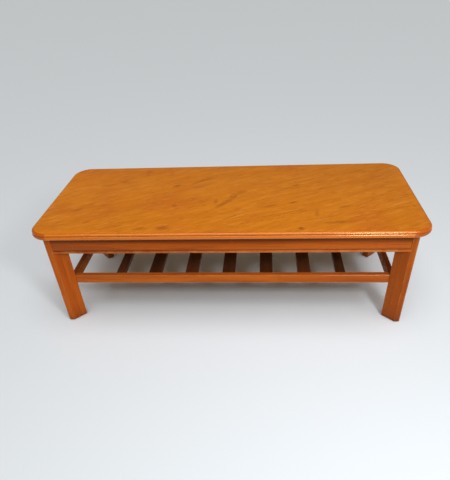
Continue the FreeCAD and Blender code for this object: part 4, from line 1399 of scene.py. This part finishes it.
@dataclass
class Hardware:
    """The plated bolts, washers, nuts and screws, and the glides under the feet.

    The head and glide profiles are shares of the radius and of the height.
    """

    legs: LegFrame
    bolt_radius: float = 0.004
    bolt_start: float = 0.039
    bolt_end: float = 0.1191
    bolt_heights: Point = (0.378, 0.408)
    thread_depth: float = 0.0004
    thread_pitch: float = 0.00125
    threads: int = 11
    washer_start: float = 0.107
    washer_radius: float = 0.010
    washer_hole: float = 0.0043
    washer: float = 0.0016
    nut_start: float = 0.1086
    nut_flats: float = 0.013
    nut_corner: float = 0.0009
    nut: float = 0.0065
    screw_head: float = 0.0045
    screw_shank: float = 0.00225
    screw_floor: float = 0.380
    screw_neck: float = 0.383
    screw_point: float = 0.006
    screw_tip: float = 0.438
    head_profile: tuple[Point, ...] = ((0.72, 0), (0.93, 0.22), (1, 0.6), (1, 1))
    recess_arm: float = 0.72 * 0.72
    recess_waist: float = 0.72 * 0.2
    recess_depth: float = 0.6
    recess_taper: float = 0.6
    batten_screws: tuple[float, ...] = (-0.180, 0.0, 0.180)
    block_screws: tuple[Point, ...] = ((0.62656, 0.23192), (0.66192, 0.19656))
    screw_turn: Point = (40, 25)
    glide_radius: float = 0.011
    glide: float = 0.002
    glide_profile: tuple[Point, ...] = (
        (0, 0.35), (0.22, 0.35), (0.26, 0.5), (0.31, 0.5), (0.36, 0.08), (0.5, 0), (0.8, 0),
        (0.95, 0.15), (1, 0.5), (1, 1), (0, 1))

    def bolt(self) -> BMesh:
        """Turn one hanger bolt, with its thread cut where it leaves the block.

        Returns:
            The bolt, along Z from zero.
        """
        length = self.bolt_end - self.bolt_start
        root = self.bolt_radius - self.thread_depth
        profile = [(0, 0), (root, 0), (self.bolt_radius, self.thread_depth)]
        start = length - (self.threads + 0.5) * self.thread_pitch
        for turn in range(self.threads):
            profile.append((self.bolt_radius, start + turn * self.thread_pitch))
            profile.append((root, start + (turn + 0.5) * self.thread_pitch))
        return lathe([*profile, (root, length), (0, length)])

    def washer_ring(self) -> BMesh:
        """Turn one flat washer, with its outer arrises eased.

        Returns:
            The washer, along Z from zero.
        """
        ease = self.washer / 6
        rim = self.washer_radius - ease
        return lathe([
            (self.washer_hole, 0), (rim, 0), (self.washer_radius, ease),
            (self.washer_radius, self.washer - ease), (rim, self.washer),
            (self.washer_hole, self.washer)], closed=True, steps=32)

    def hexagon_nut(self) -> BMesh:
        """Build one nut, with its corners cut back and its bore open.

        Returns:
            The nut, along Z from zero.
        """
        mesh = bmesh.new()
        reach = self.nut_flats / 2
        for radius, sides in ((reach / math.cos(math.pi / 6), 6), (self.washer_hole, 24)):
            bmesh.ops.create_circle(mesh, segments=sides, radius=radius)
        bmesh.ops.triangle_fill(mesh, edges=mesh.edges[:], use_beauty=True)
        raise_face(mesh, self.nut)
        tips = [vert for vert in mesh.verts if vert.co.xy.length > reach]
        bmesh.ops.bevel(mesh, geom=tips, offset=self.nut_corner, segments=2,
                        affect="VERTICES", **ROUND)
        return mesh

    def screw(self) -> BMesh:
        """Build one pan-head screw with its drive recessed.

        Returns:
            The screw, pointing up Z with its head at zero.
        """
        head = self.screw_neck - self.screw_floor
        length = self.screw_tip - self.screw_floor
        mesh = lathe([
            *((self.screw_head * out, head * up) for out, up in self.head_profile),
            (self.screw_shank, head), (self.screw_shank, length - self.screw_point),
            (0, length)])
        rim = [edge for edge in mesh.edges if edge.is_boundary]
        arm, waist = self.screw_head * self.recess_arm, self.screw_head * self.recess_waist
        cross = [(arm, -waist, 0), (arm, waist, 0), (waist, waist, 0)]
        for _ in range(3):
            cross += [(-y, x, 0) for x, y, _ in cross[-3:]]
        slot = line_through(mesh, cross, closed=True)
        bmesh.ops.triangle_fill(mesh, edges=rim + slot, use_beauty=True)
        made = bmesh.ops.extrude_edge_only(mesh, edges=slot)["geom"]
        deep = only(BMVert, made)
        bmesh.ops.scale(mesh, verts=deep, vec=(self.recess_taper, self.recess_taper, 1))
        bmesh.ops.translate(mesh, verts=deep, vec=(0, 0, head * self.recess_depth))
        floor = [edge for edge in only(BMEdge, made) if all(vert in deep for vert in edge.verts)]
        bmesh.ops.contextual_create(mesh, geom=floor)
        return mesh

    def glide_disc(self) -> BMesh:
        """Turn one glide along Z: a domed disc with its nail sunk in the middle."""
        return lathe([(self.glide_radius * out, self.glide * up)
                      for out, up in self.glide_profile], steps=40)

    def along_diagonals(self, shape: Callable[[], BMesh], start: float) -> list[BMesh]:
        """Lay a shape along each corner's diagonal, at each bolt's height.

        Args:
            shape: What makes one, along Z from zero.
            start: How far from the leg's point it begins.

        Returns:
            One bmesh for each.
        """
        laid_out = []
        for corner in Corner:
            heading = Vector((math.cos(corner.inward), math.sin(corner.inward), 0))
            turn = heading.to_track_quat("Z", "Y").to_matrix().to_4x4()
            for height in self.bolt_heights:
                mesh = shape()
                place = corner.place(self.legs.reach_x, self.legs.reach_y, height)
                carry(mesh, Matrix.Translation(place + heading * start) @ turn)
                laid_out.append(mesh)
        return laid_out

    def screws(self) -> list[BMesh]:
        """Set the top's screws: three in the batten and two in each block.

        Returns:
            One bmesh for each.
        """
        spots = [Vector((0, y, 0)) for y in self.batten_screws]
        spots += [corner.place(x, y) for corner in Corner for x, y in self.block_screws]
        driven = []
        for spot in spots:
            turn = spot.x * self.screw_turn[0] + spot.y * self.screw_turn[1]
            mesh = self.screw()
            carry(mesh, Matrix.Translation((spot.x, spot.y, self.screw_floor))
                  @ Matrix.Rotation(turn, 4, "Z"))
            driven.append(mesh)
        return driven

    def glides(self) -> list[BMesh]:
        """Set a glide under the middle of each foot.

        Returns:
            One bmesh for each.
        """
        inset = self.legs.width / 2 / DIAGONAL
        discs = []
        for corner in Corner:
            mesh = self.glide_disc()
            carry(mesh, Matrix.Translation(
                corner.place(self.legs.reach_x - inset, self.legs.reach_y - inset)))
            discs.append(mesh)
        return discs

    def build(self) -> None:
        """Build every fastener and the glides."""
        steel = ZINC_PLATE.material("zinc_plate")
        for name, shape, start in (("bolts", self.bolt, self.bolt_start),
                                   ("washers", self.washer_ring, self.washer_start),
                                   ("nuts", self.hexagon_nut, self.nut_start)):
            finish_mesh(name, joined(self.along_diagonals(shape, start)), steel,
                        f"hanger_{name}")
        finish_mesh("screws", joined(self.screws()), steel, "top_screws")
        finish_mesh("glides", joined(self.glides()), GLIDE_PLASTIC.material("glide_plastic"),
                    "foot_glides")


@dataclass
class Underside:
    """The raw wood that holds the table together out of sight: the blocks and the batten."""

    finish: RawWood = RawWood()

    def build(self) -> None:
        """Dress the blocks and the batten."""
        blocks = self.finish.material("block_wood", Run.ALONG)
        for corner in Corner:
            dress(f"corner_block_{corner.label}", blocks)
        dress("cross_batten", self.finish.material("batten_wood", Run.ACROSS))


@dataclass(frozen=True)
class Lamp:
    """One soft square light, or a distant one of some spread where it has no size."""

    name: str
    place: Spot
    aim: Spot
    power: float
    size: float = 0.0
    spread: float = 0.0
    colour: Spot = (0.94, 0.97, 1.0)

    def hang(self) -> None:
        """Hang the light and turn it to what it faces."""
        data = bpy.data.lights.new(self.name, "AREA" if self.size else "SUN")
        if self.size:
            data.shape = "SQUARE"
            data.size = self.size
        else:
            data.angle = self.spread
        data.energy = self.power
        data.color = self.colour
        turn = (Vector(self.aim) - Vector(self.place)).to_track_quat("-Z", "Y").to_matrix()
        show(self.name, data).matrix_world = Matrix.Translation(self.place) @ turn.to_4x4()


@dataclass
class Studio:
    """The floor, the soft light and the camera where the photograph was taken."""

    place: Spot = (0.1379, -1.7443, 1.2626)
    pitch: float = math.radians(38.778)
    yaw: float = math.radians(-5.767)
    roll: float = math.radians(-3.394)
    sensor: float = 36
    lens: float = 450.29 / 480 * 36
    shift: Point = (-0.0034, 0.1383)
    clip: Point = (0.05, 50)
    sky: float = 0.13
    sky_colour: Colour = (1.0, 0.82, 0.60, 1)
    floor_reach: float = 30.0
    lamps: tuple[Lamp, ...] = (
        Lamp("key", (1.05, -1.9, 1.75), (0, -0.1, 0.2), 24, size=0.4),
        Lamp("overhead", (0.2, -1.0, 3), (0, 0, 0), 2.2, spread=math.radians(60)),
    )

    def camera(self) -> None:
        """Set up the camera."""
        data = bpy.data.cameras.new("camera")
        data.lens = self.lens
        data.sensor_width = self.sensor
        data.shift_x, data.shift_y = self.shift
        data.clip_start, data.clip_end = self.clip
        level = Vector((math.cos(self.yaw), -math.sin(self.yaw), 0))
        ahead = Vector((math.sin(self.yaw) * math.cos(self.pitch),
                        math.cos(self.yaw) * math.cos(self.pitch), -math.sin(self.pitch)))
        above = level.cross(ahead)
        right = math.cos(self.roll) * level + math.sin(self.roll) * above
        up = -math.sin(self.roll) * level + math.cos(self.roll) * above
        turn = Matrix((right, up, -ahead)).transposed().to_4x4()
        camera = show("camera", data)
        camera.matrix_world = Matrix.Translation(self.place) @ turn
        bpy.context.scene.camera = camera

    def floor(self) -> None:
        """Lay a plain pale floor."""
        mesh = bmesh.new()
        bmesh.ops.create_grid(mesh, x_segments=1, y_segments=1, size=self.floor_reach)
        data = mesh_data("floor", mesh)
        data.materials.append(PALE_FLOOR.material("pale_floor"))
        show("floor", data)

    def light(self) -> None:
        """Light the table from the right, the front and above, under a dim warm sky."""
        world = bpy.data.worlds.new("sky")
        world.use_nodes = True
        background = world.node_tree.nodes["Background"]
        background.inputs["Color"].default_value = self.sky_colour
        background.inputs["Strength"].default_value = self.sky
        bpy.context.scene.world = world
        for lamp in self.lamps:
            lamp.hang()

    def build(self) -> None:
        """Build the floor, the light and the camera."""
        self.floor()
        self.light()
        self.camera()
        bpy.context.scene.view_settings.view_transform = "Standard"


def main() -> None:
    """Build and dress the table, piece by piece, in its studio."""
    logging.basicConfig(level=logging.INFO, format="%(name)s %(message)s")
    build_effects()
    TableTop().build()
    legs = LegFrame()
    for assembly in (legs, Shelf(legs), Underside(), Hardware(legs), Studio()):
        assembly.build()


if __name__ == "__main__":
    main()
